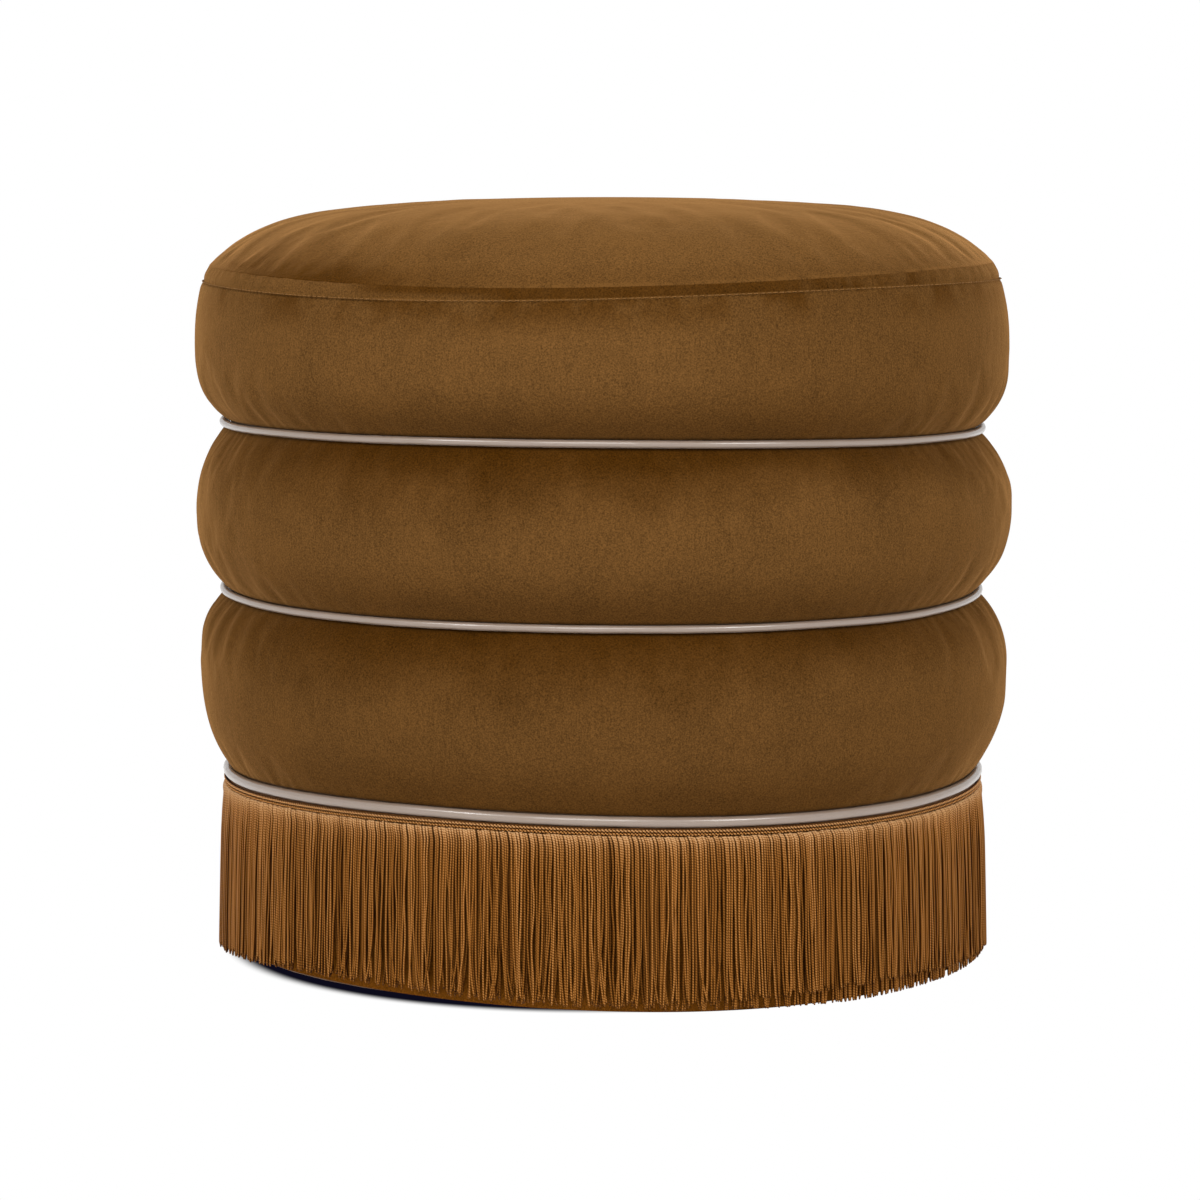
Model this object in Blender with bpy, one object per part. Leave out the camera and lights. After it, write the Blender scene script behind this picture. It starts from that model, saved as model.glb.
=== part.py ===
# A round upholstered ottoman: three velvet rolls stacked on a plywood and hardboard barrel, with
# leather piping in the grooves between them and a long fringe that hides the plinth.
# Metres, +Z up, the origin on the floor under the middle.

import math
import random
from collections import namedtuple

import bmesh
import bpy
from mathutils import Matrix

for old in list(bpy.data.objects):
    bpy.data.objects.remove(old)

# Heights, one on top of the other from the floor up
foot_height = 0.005
plinth_height = 0.108
lower_tier_height = 0.1085
middle_tier_height = 0.1025
upper_tier_height = 0.094
crown_rise = 0.042

# The barrel, and how far each soft form stands out from it
barrel_radius = 0.228
lower_roll_depth = 0.020
middle_roll_depth = 0.022
upper_roll_depth = 0.0205
seam_overhang = 0.0125
piping_overhang = 0.0065

# Sheet and board thicknesses
velvet = 0.0015
dust_cloth = 0.0008
hardboard = 0.003
seat_board_thickness = 0.015
base_board_thickness = 0.015
former_thickness = 0.012
board_chamfer = 0.001

# Trims
slim_piping = 0.0045
stout_piping = 0.006
piping_flange = 0.0012
header_height = 0.007
header_thickness = 0.0037
header_cord = 0.0035
header_cord_round = 0.0008
fringe_flare = 0.0045
strand_depth = 0.0028
tip_level = 0.0055
tip_raggedness = 0.005
tip_scatter = 0.0005

# Timber frame
former_width = 0.045
notch_depth = 0.020
post_width = 0.025
post_depth = 0.040
post_arris = 0.0015
butt_joint_width = 0.001

# Nail-on glides
glide_inset = 0.040
glide_radius = 0.011
glide_foot_radius = 0.008
glide_round = 0.0018
nail_radius = 0.0013
nail_length = 0.010
nail_point = 0.002

# Fits
clearance = 0.0003
groove_gap = 0.00045
edge_setback = 0.0013
flap_width = 0.023
overrun = 0.005
weld_distance = 0.000001

# Counts
round_facets = 48
foot_facets = 10
hole_facets = 8
post_count = 6
strands_per_facet = 8
piping_sides = 7

# Shares of the sizes that they follow, and the places of a section's corners along it
lower_belly_share = 0.553
middle_belly_share = 0.490
upper_belly_share = 0.472
outer_mark_shares = (-1, -0.67, -0.33, 0, 0.33, 0.67, 1)
inner_mark_shares = (-1, -0.33, 0.33, 1)
pad_split_share = 0.33
panel_mark_shares = (0, 0.4, 0.65, 0.8, 0.91, 1)
lining_mark_shares = (0, 0.4, 0.8, 1)
crown_bow_share = 0.27
crown_edge_share = 1.4
strand_share = 0.69
strand_tip_share = 0.52
strand_lean_share = 0.1
smooth_angle = math.radians(35)

# How full a roll stays towards its lower and its upper edge: 2 is a parabola, more is squarer
lower_fullness = (2.4, 2.8)
middle_fullness = (2.5, 2.4)
upper_fullness = (3.0, 1.9)
crown_fullness = 8

# Levels that several pieces share
lower_piping_level = foot_height + plinth_height
middle_piping_level = lower_piping_level + lower_tier_height
upper_piping_level = middle_piping_level + middle_tier_height
seam_level = upper_piping_level + upper_tier_height
seam_radius = barrel_radius + seam_overhang
board_underside = foot_height + velvet + clearance
deck_level = upper_piping_level + slim_piping / 2 + groove_gap + velvet
board_radius = barrel_radius - hardboard - clearance
former_bore = board_radius - former_width
post_outer_radius = former_bore + notch_depth
post_low = board_underside + base_board_thickness + clearance
post_high = deck_level - seat_board_thickness - clearance
plinth_surface = barrel_radius + clearance + velvet
plinth_top = lower_piping_level - stout_piping / 2 - clearance
flap_radius = barrel_radius - flap_width
cloth_underside = board_underside - clearance - dust_cloth
glide_circle = board_radius - glide_inset

ottoman = bpy.data.objects.new("ottoman", None)
bpy.context.scene.collection.objects.link(ottoman)

Roll = namedtuple(
    "Roll", "low_radius low_level high_radius high_level sewn_top belly_radius belly_share fullness"
)


def finish(name, colour, roughness, metallic=0.0):
    """A material with one colour, roughness and metallic value."""
    material = bpy.data.materials.new(name)
    material.use_nodes = True
    shader = material.node_tree.nodes["Principled BSDF"]
    shader.inputs["Base Color"].default_value = (*colour, 1)
    shader.inputs["Roughness"].default_value = roughness
    shader.inputs["Metallic"].default_value = metallic
    return material


def finished_mesh(name, shape, material):
    """The bmesh as a mesh that faces outwards, smooth over its round faces."""
    bmesh.ops.recalc_face_normals(shape, faces=shape.faces)
    data = bpy.data.meshes.new(name)
    shape.to_mesh(data)
    shape.free()
    data.materials.append(material)
    data.shade_smooth()
    data.set_sharp_from_angle(angle=smooth_angle)
    return data


def add_piece(name, data):
    """A named object in the scene, carried by the ottoman's own empty."""
    piece = bpy.data.objects.new(name, data)
    bpy.context.scene.collection.objects.link(piece)
    piece.parent = ottoman
    return piece


def spun(outline, facets):
    """The outline of (radius, level) corners, turned a full circle about +Z. It closes on itself,
    or runs from the axis back to the axis."""
    mesh = bmesh.new()
    corners = [mesh.verts.new((radius, 0, level)) for radius, level in outline]
    pairs = list(zip(corners, corners[1:]))
    if outline[0][0] > 0:
        pairs.append((corners[-1], corners[0]))
    edges = [mesh.edges.new(pair) for pair in pairs]
    bmesh.ops.spin(
        mesh, geom=corners + edges, axis=(0, 0, 1), angle=math.tau, steps=facets, use_merge=True
    )
    bmesh.ops.remove_doubles(mesh, verts=mesh.verts, dist=weld_distance)
    return mesh


def turned(name, outline, material):
    """A round piece of the ottoman."""
    return add_piece(name, finished_mesh(name, spun(outline, round_facets), material))


def cut_from(piece, cutter_mesh):
    """Takes the cutter's shape out of the piece."""
    cutter_name = piece.name + "_cutter"
    cutter = add_piece(cutter_name, finished_mesh(cutter_name, cutter_mesh, plywood))
    cutter.hide_render = True
    cutter.display_type = "WIRE"
    modifier = piece.modifiers.new("cut", "BOOLEAN")
    modifier.operation = "DIFFERENCE"
    modifier.object = cutter


def post_angles():
    """The angle about +Z of each post, and of the glide beneath it."""
    return [math.tau * number / post_count for number in range(post_count)]


def around(radius, angle, level):
    """A place at this radius and angle about +Z."""
    return (radius * math.cos(angle), radius * math.sin(angle), level)


def holes(radius, circle, low, high):
    """A cutter with one drill on the circle under each post."""
    mesh = bmesh.new()
    for angle in post_angles():
        place = Matrix.Translation(around(circle, angle, (low + high) / 2))
        bmesh.ops.create_cone(
            mesh, cap_ends=True, segments=hole_facets, radius1=radius, radius2=radius,
            depth=high - low, matrix=place,
        )
    return mesh


def roll_between(low_piping, low_level, high_piping, high_level, depth, belly_share, fullness):
    """A roll whose cover is drawn in to a groove at both edges."""
    low_wire, high_wire = low_piping / 2, high_piping / 2
    outer = barrel_radius + piping_overhang - edge_setback
    return Roll(
        outer - low_wire, low_level + low_wire + groove_gap,
        outer - high_wire, high_level - high_wire - groove_gap,
        False, barrel_radius + depth, belly_share, fullness,
    )


def roll_point(roll, mark, inset):
    """A point of the roll's section, inset from its surface. The mark is -1 at its lower edge, 0 at
    its belly and 1 at its upper edge. A sewn top keeps its level, and a drawn-in edge its radius."""
    belly_level = roll.low_level + (roll.high_level - roll.low_level) * roll.belly_share
    belly_radius = roll.belly_radius - inset
    if mark < 0:
        edge_radius, edge_level, power = roll.low_radius, roll.low_level + inset, roll.fullness[0]
    elif roll.sewn_top:
        edge_radius, edge_level, power = roll.high_radius - inset, roll.high_level, roll.fullness[1]
    else:
        edge_radius, edge_level, power = roll.high_radius, roll.high_level - inset, roll.fullness[1]
    radius = belly_radius - (belly_radius - edge_radius) * abs(mark) ** power
    return radius, belly_level + (edge_level - belly_level) * abs(mark)


def crown_point(mark, inset):
    """A point of the crown, inset from its surface. The mark is 0 at the middle and 1 at the seam."""
    height_share = 1 - crown_bow_share * mark**2 - (1 - crown_bow_share) * mark**crown_fullness
    level = seam_level + clearance / 2 + (crown_rise - clearance / 2 - inset) * height_share
    return mark * (seam_radius - crown_edge_share * inset), level


def velvet_band(name, roll):
    """The cover of one roll: a strip of velvet that swells between its two edges."""
    outside = [roll_point(roll, mark, 0) for mark in outer_mark_shares]
    inside = [roll_point(roll, mark, velvet) for mark in reversed(inner_mark_shares)]
    turned(name, outside + inside, pile)


def roll_foam(name, roll):
    """The half-round foam strip under a cover, flat where it is glued to the barrel."""
    back = barrel_radius + clearance
    face = [roll_point(roll, mark, velvet + clearance) for mark in inner_mark_shares]
    turned(name, [(back, face[0][1])] + face + [(back, face[-1][1])], foam)


def top_panel():
    """The crowned velvet disc that is sewn to the upper band."""
    outside = [crown_point(mark, 0) for mark in panel_mark_shares]
    inside = [crown_point(mark, velvet) for mark in reversed(lining_mark_shares)]
    turned("top_panel", outside + inside, pile)


def seat_foam():
    """The firm pad on the seat board, swollen at its side."""
    marks = [mark for mark in inner_mark_shares if mark <= pad_split_share]
    side = [roll_point(upper_roll, mark, velvet + clearance) for mark in marks]
    turned("seat_foam", [(0, side[0][1])] + side + [(0, side[-1][1])], foam)


def crown_foam():
    """The softer crowned pad on top of the firm one."""
    radius, level = roll_point(upper_roll, pad_split_share, velvet + clearance)
    under = level + clearance
    dome = [crown_point(mark, velvet + clearance) for mark in reversed(lining_mark_shares)]
    turned("crown_foam", [(0, under), (radius, under)] + dome, soft_foam)


def plinth_cover():
    """The velvet behind the fringe, folded under the base board and stapled there."""
    inside = plinth_surface - velvet
    fold = foot_height + velvet
    outline = [
        (plinth_surface, plinth_top), (inside, plinth_top), (inside, fold), (flap_radius, fold),
        (flap_radius, foot_height), (inside, foot_height), (plinth_surface, fold),
    ]
    turned("plinth_cover", outline, pile)


def piping(name, level, wire):
    """A leather piping: a round cord with a flange that is caught against the barrel."""
    cord = wire / 2
    middle = barrel_radius + piping_overhang - cord
    root = math.asin(piping_flange / wire)
    sweep = math.tau - 2 * root
    outline = []
    for number in range(piping_sides):
        angle = -math.pi + root + sweep * number / (piping_sides - 1)
        outline.append((middle + cord * math.cos(angle), level + cord * math.sin(angle)))
    inner = barrel_radius + clearance
    outline += [(inner, outline[-1][1]), (inner, outline[0][1])]
    turned(name, outline, leather)


def join_rings(mesh, sparse, dense):
    """A wall of triangles between a ring with one corner a facet and a ring with several."""
    several = len(dense) // len(sparse)
    for facet, corner in enumerate(sparse):
        following = sparse[(facet + 1) % len(sparse)]
        switch = facet * several + several // 2
        for number in range(facet * several, (facet + 1) * several):
            nearest = corner if number < switch else following
            mesh.faces.new((dense[number], dense[(number + 1) % len(dense)], nearest))
        mesh.faces.new((dense[switch], following, corner))


def fringe():
    """The fringe: a sewn header round the plinth, and the strands that hang from its underside."""
    chance = random.Random(5)
    mesh = bmesh.new()
    inner = plinth_surface + clearance
    outer = inner + header_thickness
    under = plinth_top - header_height
    strand_count = round_facets * strands_per_facet
    pitch = math.tau / strand_count
    section = [
        (inner, plinth_top), (outer - header_cord_round, plinth_top),
        (outer, plinth_top - header_cord / 2), (outer - header_cord_round, plinth_top - header_cord),
    ]
    turns = [math.tau * number / round_facets for number in range(round_facets)]
    rings = []
    for radius, level in section:
        rings.append([mesh.verts.new(around(radius, turn, level)) for turn in turns])
    for first, second in zip(rings, rings[1:]):
        for number in range(round_facets):
            after = (number + 1) % round_facets
            mesh.faces.new((first[number], first[after], second[after], second[number]))
    roots, ridges = [], []
    for number in range(strand_count):
        angle = pitch * (number + 0.5)
        half = pitch * strand_share / 2
        root = [mesh.verts.new(around(inner, angle + side * half, under)) for side in (-1, 1)]
        ridge = mesh.verts.new(around(outer, angle, under))
        lean = pitch * strand_lean_share * chance.uniform(-1, 1)
        tip_outer = outer + fringe_flare + tip_scatter * chance.uniform(-1, 1)
        tip_inner = tip_outer - strand_depth
        level = tip_level + tip_raggedness * chance.random()
        half = pitch * strand_tip_share / 2
        tip = [
            mesh.verts.new(around(tip_inner, angle + lean - half, level)),
            mesh.verts.new(around(tip_inner, angle + lean + half, level)),
            mesh.verts.new(around(tip_outer, angle + lean, level)),
        ]
        top = root + [ridge]
        for side in range(3):
            after = (side + 1) % 3
            mesh.faces.new((top[side], top[after], tip[after], tip[side]))
        mesh.faces.new(tip)
        roots += root
        ridges.append(ridge)
    for number in range(strand_count):
        after = (number + 1) % strand_count
        mesh.faces.new((roots[2 * number + 1], roots[2 * after], ridges[after], ridges[number]))
    join_rings(mesh, rings[0], roots)
    join_rings(mesh, rings[-1], ridges)
    add_piece("fringe", finished_mesh("fringe", mesh, yarn))


def disc(name, radius, low, high, material, chamfer=0):
    """A round board or cloth, with its edges eased if it has a chamfer."""
    outline = [(0, low), (radius - chamfer, low), (radius, low + chamfer)]
    outline += [(radius, high - chamfer), (radius - chamfer, high), (0, high)]
    if not chamfer:
        outline = [(0, low), (radius, low), (radius, high), (0, high)]
    return turned(name, outline, material)


def base_board():
    """The bottom board, with a pilot hole for each glide's nail."""
    high = board_underside + base_board_thickness
    board = disc("base_board", board_radius, board_underside, high, plywood, board_chamfer)
    depth = board_underside + nail_length + clearance
    cut_from(board, holes(nail_radius + clearance, glide_circle, board_underside - overrun, depth))


def dust_cover():
    """The black cloth under the base board, pierced by the glides' nails."""
    radius, upper_face = flap_radius - clearance, board_underside - clearance
    cloth = disc("dust_cover", radius, cloth_underside, upper_face, cambric)
    low, high = cloth_underside - overrun, board_underside + overrun
    cut_from(cloth, holes(nail_radius + clearance, glide_circle, low, high))


def former(name, middle):
    """A plywood ring inside the barrel behind a groove, notched round the posts."""
    low, high = middle - former_thickness / 2, middle + former_thickness / 2
    outline = [(former_bore, low), (board_radius, low), (board_radius, high), (former_bore, high)]
    ring = turned(name, outline, plywood)
    mesh = bmesh.new()
    length = notch_depth + clearance + overrun
    width = post_width + 2 * clearance
    for angle in post_angles():
        place = Matrix.Rotation(angle, 4, "Z")
        place @= Matrix.Translation((former_bore - overrun + length / 2, 0, middle))
        place @= Matrix.Diagonal((length, width, former_thickness + 2 * overrun, 1))
        bmesh.ops.create_cube(mesh, size=1, matrix=place)
    cut_from(ring, mesh)


def barrel_skin():
    """The hardboard wrapped round the boards, with its ends butted together at the back."""
    inner = barrel_radius - hardboard
    outline = [(inner, board_underside), (barrel_radius, board_underside)]
    outline += [(barrel_radius, deck_level), (inner, deck_level)]
    skin = turned("barrel_skin", outline, fibreboard)
    mesh = bmesh.new()
    height = deck_level - board_underside + 2 * overrun
    place = Matrix.Translation((0, barrel_radius, (deck_level + board_underside) / 2))
    place @= Matrix.Diagonal((butt_joint_width, 2 * (hardboard + overrun), height, 1))
    bmesh.ops.create_cube(mesh, size=1, matrix=place)
    cut_from(skin, mesh)


def posts():
    """The uprights that carry the seat board, standing in the formers' notches."""
    mesh = bmesh.new()
    scale = Matrix.Diagonal((post_depth, post_width, post_high - post_low, 1))
    bmesh.ops.create_cube(mesh, size=1, matrix=scale)
    upright = [edge for edge in mesh.edges if edge.verts[0].co.xy == edge.verts[1].co.xy]
    bmesh.ops.bevel(mesh, geom=upright, offset=post_arris, segments=1, affect="EDGES")
    shape = finished_mesh("post", mesh, softwood)
    for number, angle in enumerate(post_angles(), 1):
        post = add_piece(f"post_{number}", shape)
        post.location = around(post_outer_radius - post_depth / 2, angle, (post_low + post_high) / 2)
        post.rotation_euler.z = angle


def glides():
    """The plastic glides that the ottoman stands on, each with a nail up through the cloth."""
    top = cloth_underside - clearance
    point = board_underside + nail_length
    outline = [
        (0, 0), (glide_foot_radius, 0), (glide_radius, glide_round), (glide_radius, top),
        (nail_radius, top), (nail_radius, point - nail_point), (0, point),
    ]
    shape = finished_mesh("glide", spun(outline, foot_facets), nylon)
    for number, angle in enumerate(post_angles(), 1):
        glide = add_piece(f"glide_{number}", shape)
        glide.location = around(glide_circle, angle, 0)
        glide.rotation_euler.z = angle


pile = finish("golden_brown_velvet", (0.155, 0.064, 0.012), 0.85)
leather = finish("taupe_leather", (0.36, 0.28, 0.22), 0.45)
yarn = finish("golden_fringe_yarn", (0.26, 0.11, 0.022), 0.5)
foam = finish("firm_foam", (0.75, 0.72, 0.55), 0.95)
soft_foam = finish("soft_foam", (0.80, 0.80, 0.78), 0.95)
plywood = finish("birch_plywood", (0.58, 0.42, 0.25), 0.7)
softwood = finish("pine_post", (0.62, 0.44, 0.24), 0.75)
fibreboard = finish("brown_hardboard", (0.20, 0.11, 0.05), 0.6)
cambric = finish("black_cambric", (0.012, 0.012, 0.014), 0.95)
nylon = finish("black_nylon", (0.02, 0.02, 0.02), 0.4)

lower_roll = roll_between(
    stout_piping, lower_piping_level, slim_piping, middle_piping_level,
    lower_roll_depth, lower_belly_share, lower_fullness,
)
middle_roll = roll_between(
    slim_piping, middle_piping_level, slim_piping, upper_piping_level,
    middle_roll_depth, middle_belly_share, middle_fullness,
)
upper_roll = roll_between(
    slim_piping, upper_piping_level, 0, seam_level,
    upper_roll_depth, upper_belly_share, upper_fullness,
)._replace(high_radius=seam_radius, high_level=seam_level - clearance / 2, sewn_top=True)

base_board()
former("former_lower", lower_piping_level)
former("former_middle", middle_piping_level)
posts()
disc("seat_board", board_radius, deck_level - seat_board_thickness, deck_level, plywood, board_chamfer)
barrel_skin()
roll_foam("roll_foam_lower", lower_roll)
roll_foam("roll_foam_middle", middle_roll)
seat_foam()
crown_foam()
velvet_band("band_lower", lower_roll)
velvet_band("band_middle", middle_roll)
velvet_band("band_upper", upper_roll)
top_panel()
plinth_cover()
piping("piping_lower", lower_piping_level, stout_piping)
piping("piping_middle", middle_piping_level, slim_piping)
piping("piping_upper", upper_piping_level, slim_piping)
fringe()
dust_cover()
glides()
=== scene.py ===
# %% [markdown]
# # Dressing a round velvet ottoman
# The ottoman is a crowned seat on three stacked velvet rolls, with leather piping in the grooves
# between them and a long fringe round its plinth. A CAD model already says where every piece is and
# how large it is. This file gives each piece its look: cloth that swells between its grooves, a nap
# that catches the light, thread, leather, and a fringe of separate yarns. Sizes are read from the
# CAD model, so a dressed piece lies where its solid lies and nothing is fitted by eye afterwards.

# %% Load the CAD model as a fixed frame
import math
from collections import namedtuple

import bmesh
import bpy
import numpy as np
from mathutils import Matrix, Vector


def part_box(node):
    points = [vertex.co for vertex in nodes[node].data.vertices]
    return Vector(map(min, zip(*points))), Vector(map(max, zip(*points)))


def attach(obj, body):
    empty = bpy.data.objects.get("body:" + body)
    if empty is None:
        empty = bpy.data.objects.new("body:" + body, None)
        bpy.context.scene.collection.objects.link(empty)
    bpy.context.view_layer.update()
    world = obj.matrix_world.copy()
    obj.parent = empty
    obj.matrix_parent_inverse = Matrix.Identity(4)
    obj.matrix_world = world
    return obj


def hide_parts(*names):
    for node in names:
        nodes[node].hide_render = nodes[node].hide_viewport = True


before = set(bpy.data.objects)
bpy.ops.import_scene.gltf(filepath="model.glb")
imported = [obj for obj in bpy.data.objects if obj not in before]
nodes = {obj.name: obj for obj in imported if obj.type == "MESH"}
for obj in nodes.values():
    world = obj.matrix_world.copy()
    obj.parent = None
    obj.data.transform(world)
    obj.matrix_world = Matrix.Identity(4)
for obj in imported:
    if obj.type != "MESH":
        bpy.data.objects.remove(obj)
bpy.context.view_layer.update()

full_turn = math.tau

# %% [markdown]
# ## Sizes
# A dressed piece could carry its own copy of every size, but two copies drift apart. So the levels
# and radii come from the boxes of the CAD nodes. What the boxes can't say, such as the thickness of
# a cord or how full a roll is towards its edges, is a named size here.

# %% Levels and radii from the frame
def lowest(node):
    """The level of a node's underside."""
    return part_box(node)[0].z


def highest(node):
    """The level of a node's top."""
    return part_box(node)[1].z


def middle(node):
    """The level of a node's middle."""
    return (lowest(node) + highest(node)) / 2


def widest(node):
    """The outer radius of a round node."""
    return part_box(node)[1].x


barrel_radius = widest("barrel_skin")
seam_pull = 0.0018
seam_radius = widest("top_panel") - seam_pull
seam_level = lowest("top_panel")
crown_level = highest("top_panel")
piping_levels = {name: middle("piping_" + name) for name in ("lower", "middle", "upper")}
piping_radius = widest("piping_upper")
header_top = highest("fringe")
tip_level = lowest("fringe")
plinth_radius = widest("plinth_cover")
plinth_bottom = lowest("plinth_cover")
print("piping levels:", {name: round(level, 4) for name, level in piping_levels.items()})
print("seam at", round(seam_level, 4), "crown at", round(crown_level, 4))

# %% Sizes of the trims, in metres
velvet = 0.0015
clearance = 0.0003
slim_piping = 0.0045
stout_piping = 0.006
groove_gap = 0.00045
edge_setback = 0.0013
columns = 320
print("velvet", velvet, "m thick; pipings", slim_piping, "and", stout_piping, "m")

# %% [markdown]
# ## Hand-made unevenness
# An upholsterer draws each groove tight by eye, so no ring is quite level. On the photographed
# ottoman each ring wanders up and down by a few millimetres as it goes round. Moving points by
# hand would break the ring's smooth run, so the wander is a short sum of waves instead: one wave a
# turn tilts the ring, two a turn bow it, and three or four a turn are the last small waver. Some
# rings also sit a little off the axis, which is the last list here.

# %% How far each ring rises above its level in the CAD model
Sway = namedtuple(
    "Sway", "all_round tilt bow twist third_bow third_twist fourth_bow", defaults=(0.0,)
)
sways = {
    "lower": Sway(-0.0016, -0.0017, -0.0011, 0.0003, 0.0014, -0.0001),
    "middle": Sway(-0.0002, -0.0001, 0.0013, 0.0012, -0.0002, 0.0011),
    "upper": Sway(-0.0006, -0.0014, -0.0009, 0.0009, -0.0004, 0.0005),
    "seam": Sway(-0.0017, 0.0019, 0.0040, 0.0, -0.0009, 0.0),
    "stitch": Sway(-0.0007, 0.0022, 0.0024, 0.0, -0.0014, 0.0),
    "fold": Sway(-0.0014, -0.0041, 0.0001, 0.0, 0.0012, 0.0, -0.0003),
    "tips": Sway(0.0013, -0.0011, -0.0027, 0.0, 0.0011, 0.0, -0.0029),
}
sideways = {"lower": 0.0, "middle": -0.0008, "upper": 0.0, "seam": -0.0009}


def rise(ring, turn):
    """How far a ring lies above its own level at these angles."""
    sway = sways[ring]
    return (
        sway.all_round + sway.tilt * np.cos(turn) + sway.bow * np.cos(2 * turn)
        + sway.twist * np.sin(2 * turn) + sway.third_bow * np.cos(3 * turn)
        + sway.third_twist * np.sin(3 * turn) + sway.fourth_bow * np.cos(4 * turn)
    )


def angles_of(count, start=0.0):
    """Evenly spaced angles about +Z."""
    return start + full_turn * np.arange(count) / count


def around(radius, angle, level):
    """Points at these radii, angles and levels, as an array of x, y, z."""
    return np.stack(np.broadcast_arrays(radius * np.cos(angle), radius * np.sin(angle), level), -1)


def unit(vectors):
    """The same directions, one metre long."""
    return vectors / np.linalg.norm(vectors, axis=-1, keepdims=True)


def angle_of(points):
    """The angle about +Z at which each point lies."""
    return np.arctan2(points[:, 1], points[:, 0])


def wander(angle, waves, seed):
    """A smooth random line round the ottoman that closes on itself, of about unit size.
    Its bumps come a number of times a turn that lies between the two numbers of waves."""
    summed = 9
    chance = np.random.default_rng(seed)
    picked = chance.integers(waves[0], waves[1] + 1, summed)
    phases = chance.uniform(0, full_turn, summed)
    total = sum(np.cos(wave * angle + phase) for wave, phase in zip(picked, phases))
    return total / math.sqrt(summed)


for ring in sways:
    heights = rise(ring, angles_of(360)) * 1000
    print(ring, "ring runs from", round(heights.min(), 1), "to", round(heights.max(), 1), "mm")

# %% [markdown]
# ## Meshes from arrays
# Every cover and trim here is a grid of points: rows along it and columns round it. Blender's mesh
# tools could spin a profile, but a grid worked out with numpy can also ripple, lean and vary from
# place to place, which real cloth does. One helper numbers the grid's faces, and another makes a
# mesh with thickness from it.

# %% Grids, meshes and pieces
def grid_faces(rows, across, round_rows=False, round_columns=True):
    """Four-cornered faces between the neighbours of a grid of points, numbered row by row."""
    row = np.arange(rows if round_rows else rows - 1)[:, None]
    column = np.arange(across if round_columns else across - 1)[None, :]
    next_row, next_column = (row + 1) % rows, (column + 1) % across
    corners = [
        row * across + column, row * across + next_column,
        next_row * across + next_column, next_row * across + column,
    ]
    return np.stack(np.broadcast_arrays(*corners), -1).reshape(-1, 4)


def put_in_scene(name, data):
    """An object of the scene that shows this mesh, lamp or camera."""
    thing = bpy.data.objects.new(name, data)
    bpy.context.scene.collection.objects.link(thing)
    return thing


def add_piece(name, points, faces, material, stands_for=()):
    """A smooth mesh piece that rides on the ottoman's one body."""
    data = bpy.data.meshes.new(name)
    data.from_pydata(np.asarray(points).reshape(-1, 3).tolist(), [], [list(face) for face in faces])
    data.materials.append(material)
    data.shade_smooth()
    piece = put_in_scene(name, data)
    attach(piece, "root")
    if stands_for:
        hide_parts(*stands_for)
    return piece


def face_outwards(piece):
    """Turns the faces of a closed piece to face out."""
    shape = bmesh.new()
    shape.from_mesh(piece.data)
    bmesh.ops.recalc_face_normals(shape, faces=shape.faces)
    shape.to_mesh(piece.data)
    shape.free()


def square_ring(name, inner, outer, low, high, ring, stops, material):
    """A closed ring of square section that rises and falls with one of the ottoman's rings."""
    turn = angles_of(stops)
    section = [(inner, low), (outer, low), (outer, high), (inner, high)]
    rows = [around(radius, turn, level + rise(ring, turn)) for radius, level in section]
    faces = grid_faces(len(section), stops, round_rows=True)
    piece = add_piece(name, rows, faces, material)
    face_outwards(piece)
    return piece


def places(piece):
    """The piece's points as an array."""
    flat = np.empty(len(piece.data.vertices) * 3, np.float32)
    piece.data.vertices.foreach_get("co", flat)
    return flat.reshape(-1, 3).astype(float)


def place(piece, points):
    """Moves the piece's points to these places."""
    piece.data.vertices.foreach_set("co", points.astype(np.float32).ravel())
    piece.data.update()


def map_points(piece, name, spots):
    """Gives the piece a map that holds two numbers for each of its points."""
    corner_points = np.empty(len(piece.data.loops), np.int32)
    piece.data.loops.foreach_get("vertex_index", corner_points)
    layer = piece.data.uv_layers.new(name=name)
    layer.uv.foreach_set("vector", spots[corner_points].astype(np.float32).ravel())


def shown_form(piece):
    """The piece as its modifiers leave it."""
    return piece.evaluated_get(bpy.context.evaluated_depsgraph_get())


def apply_modifiers(piece):
    """Bakes the piece's modifiers into its mesh."""
    finished = bpy.data.meshes.new_from_object(shown_form(piece))
    piece.modifiers.clear()
    piece.data = finished


column_gap = full_turn * barrel_radius / columns
print("a band's coarse grid has", columns, "columns,", round(column_gap * 1000, 1), "mm apart")

# %% [markdown]
# ## Writing a material as sums
# A shader made of nodes is a sum written as boxes and wires. Written as Python the same sum is
# easier to read, so a small class wraps a node's output and turns +, -, * and / into Math nodes.
# Colours go through Mix nodes instead, because a Math node would turn them grey. Every other node
# comes from one method that sets the node's own settings first and then its sockets.

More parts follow.
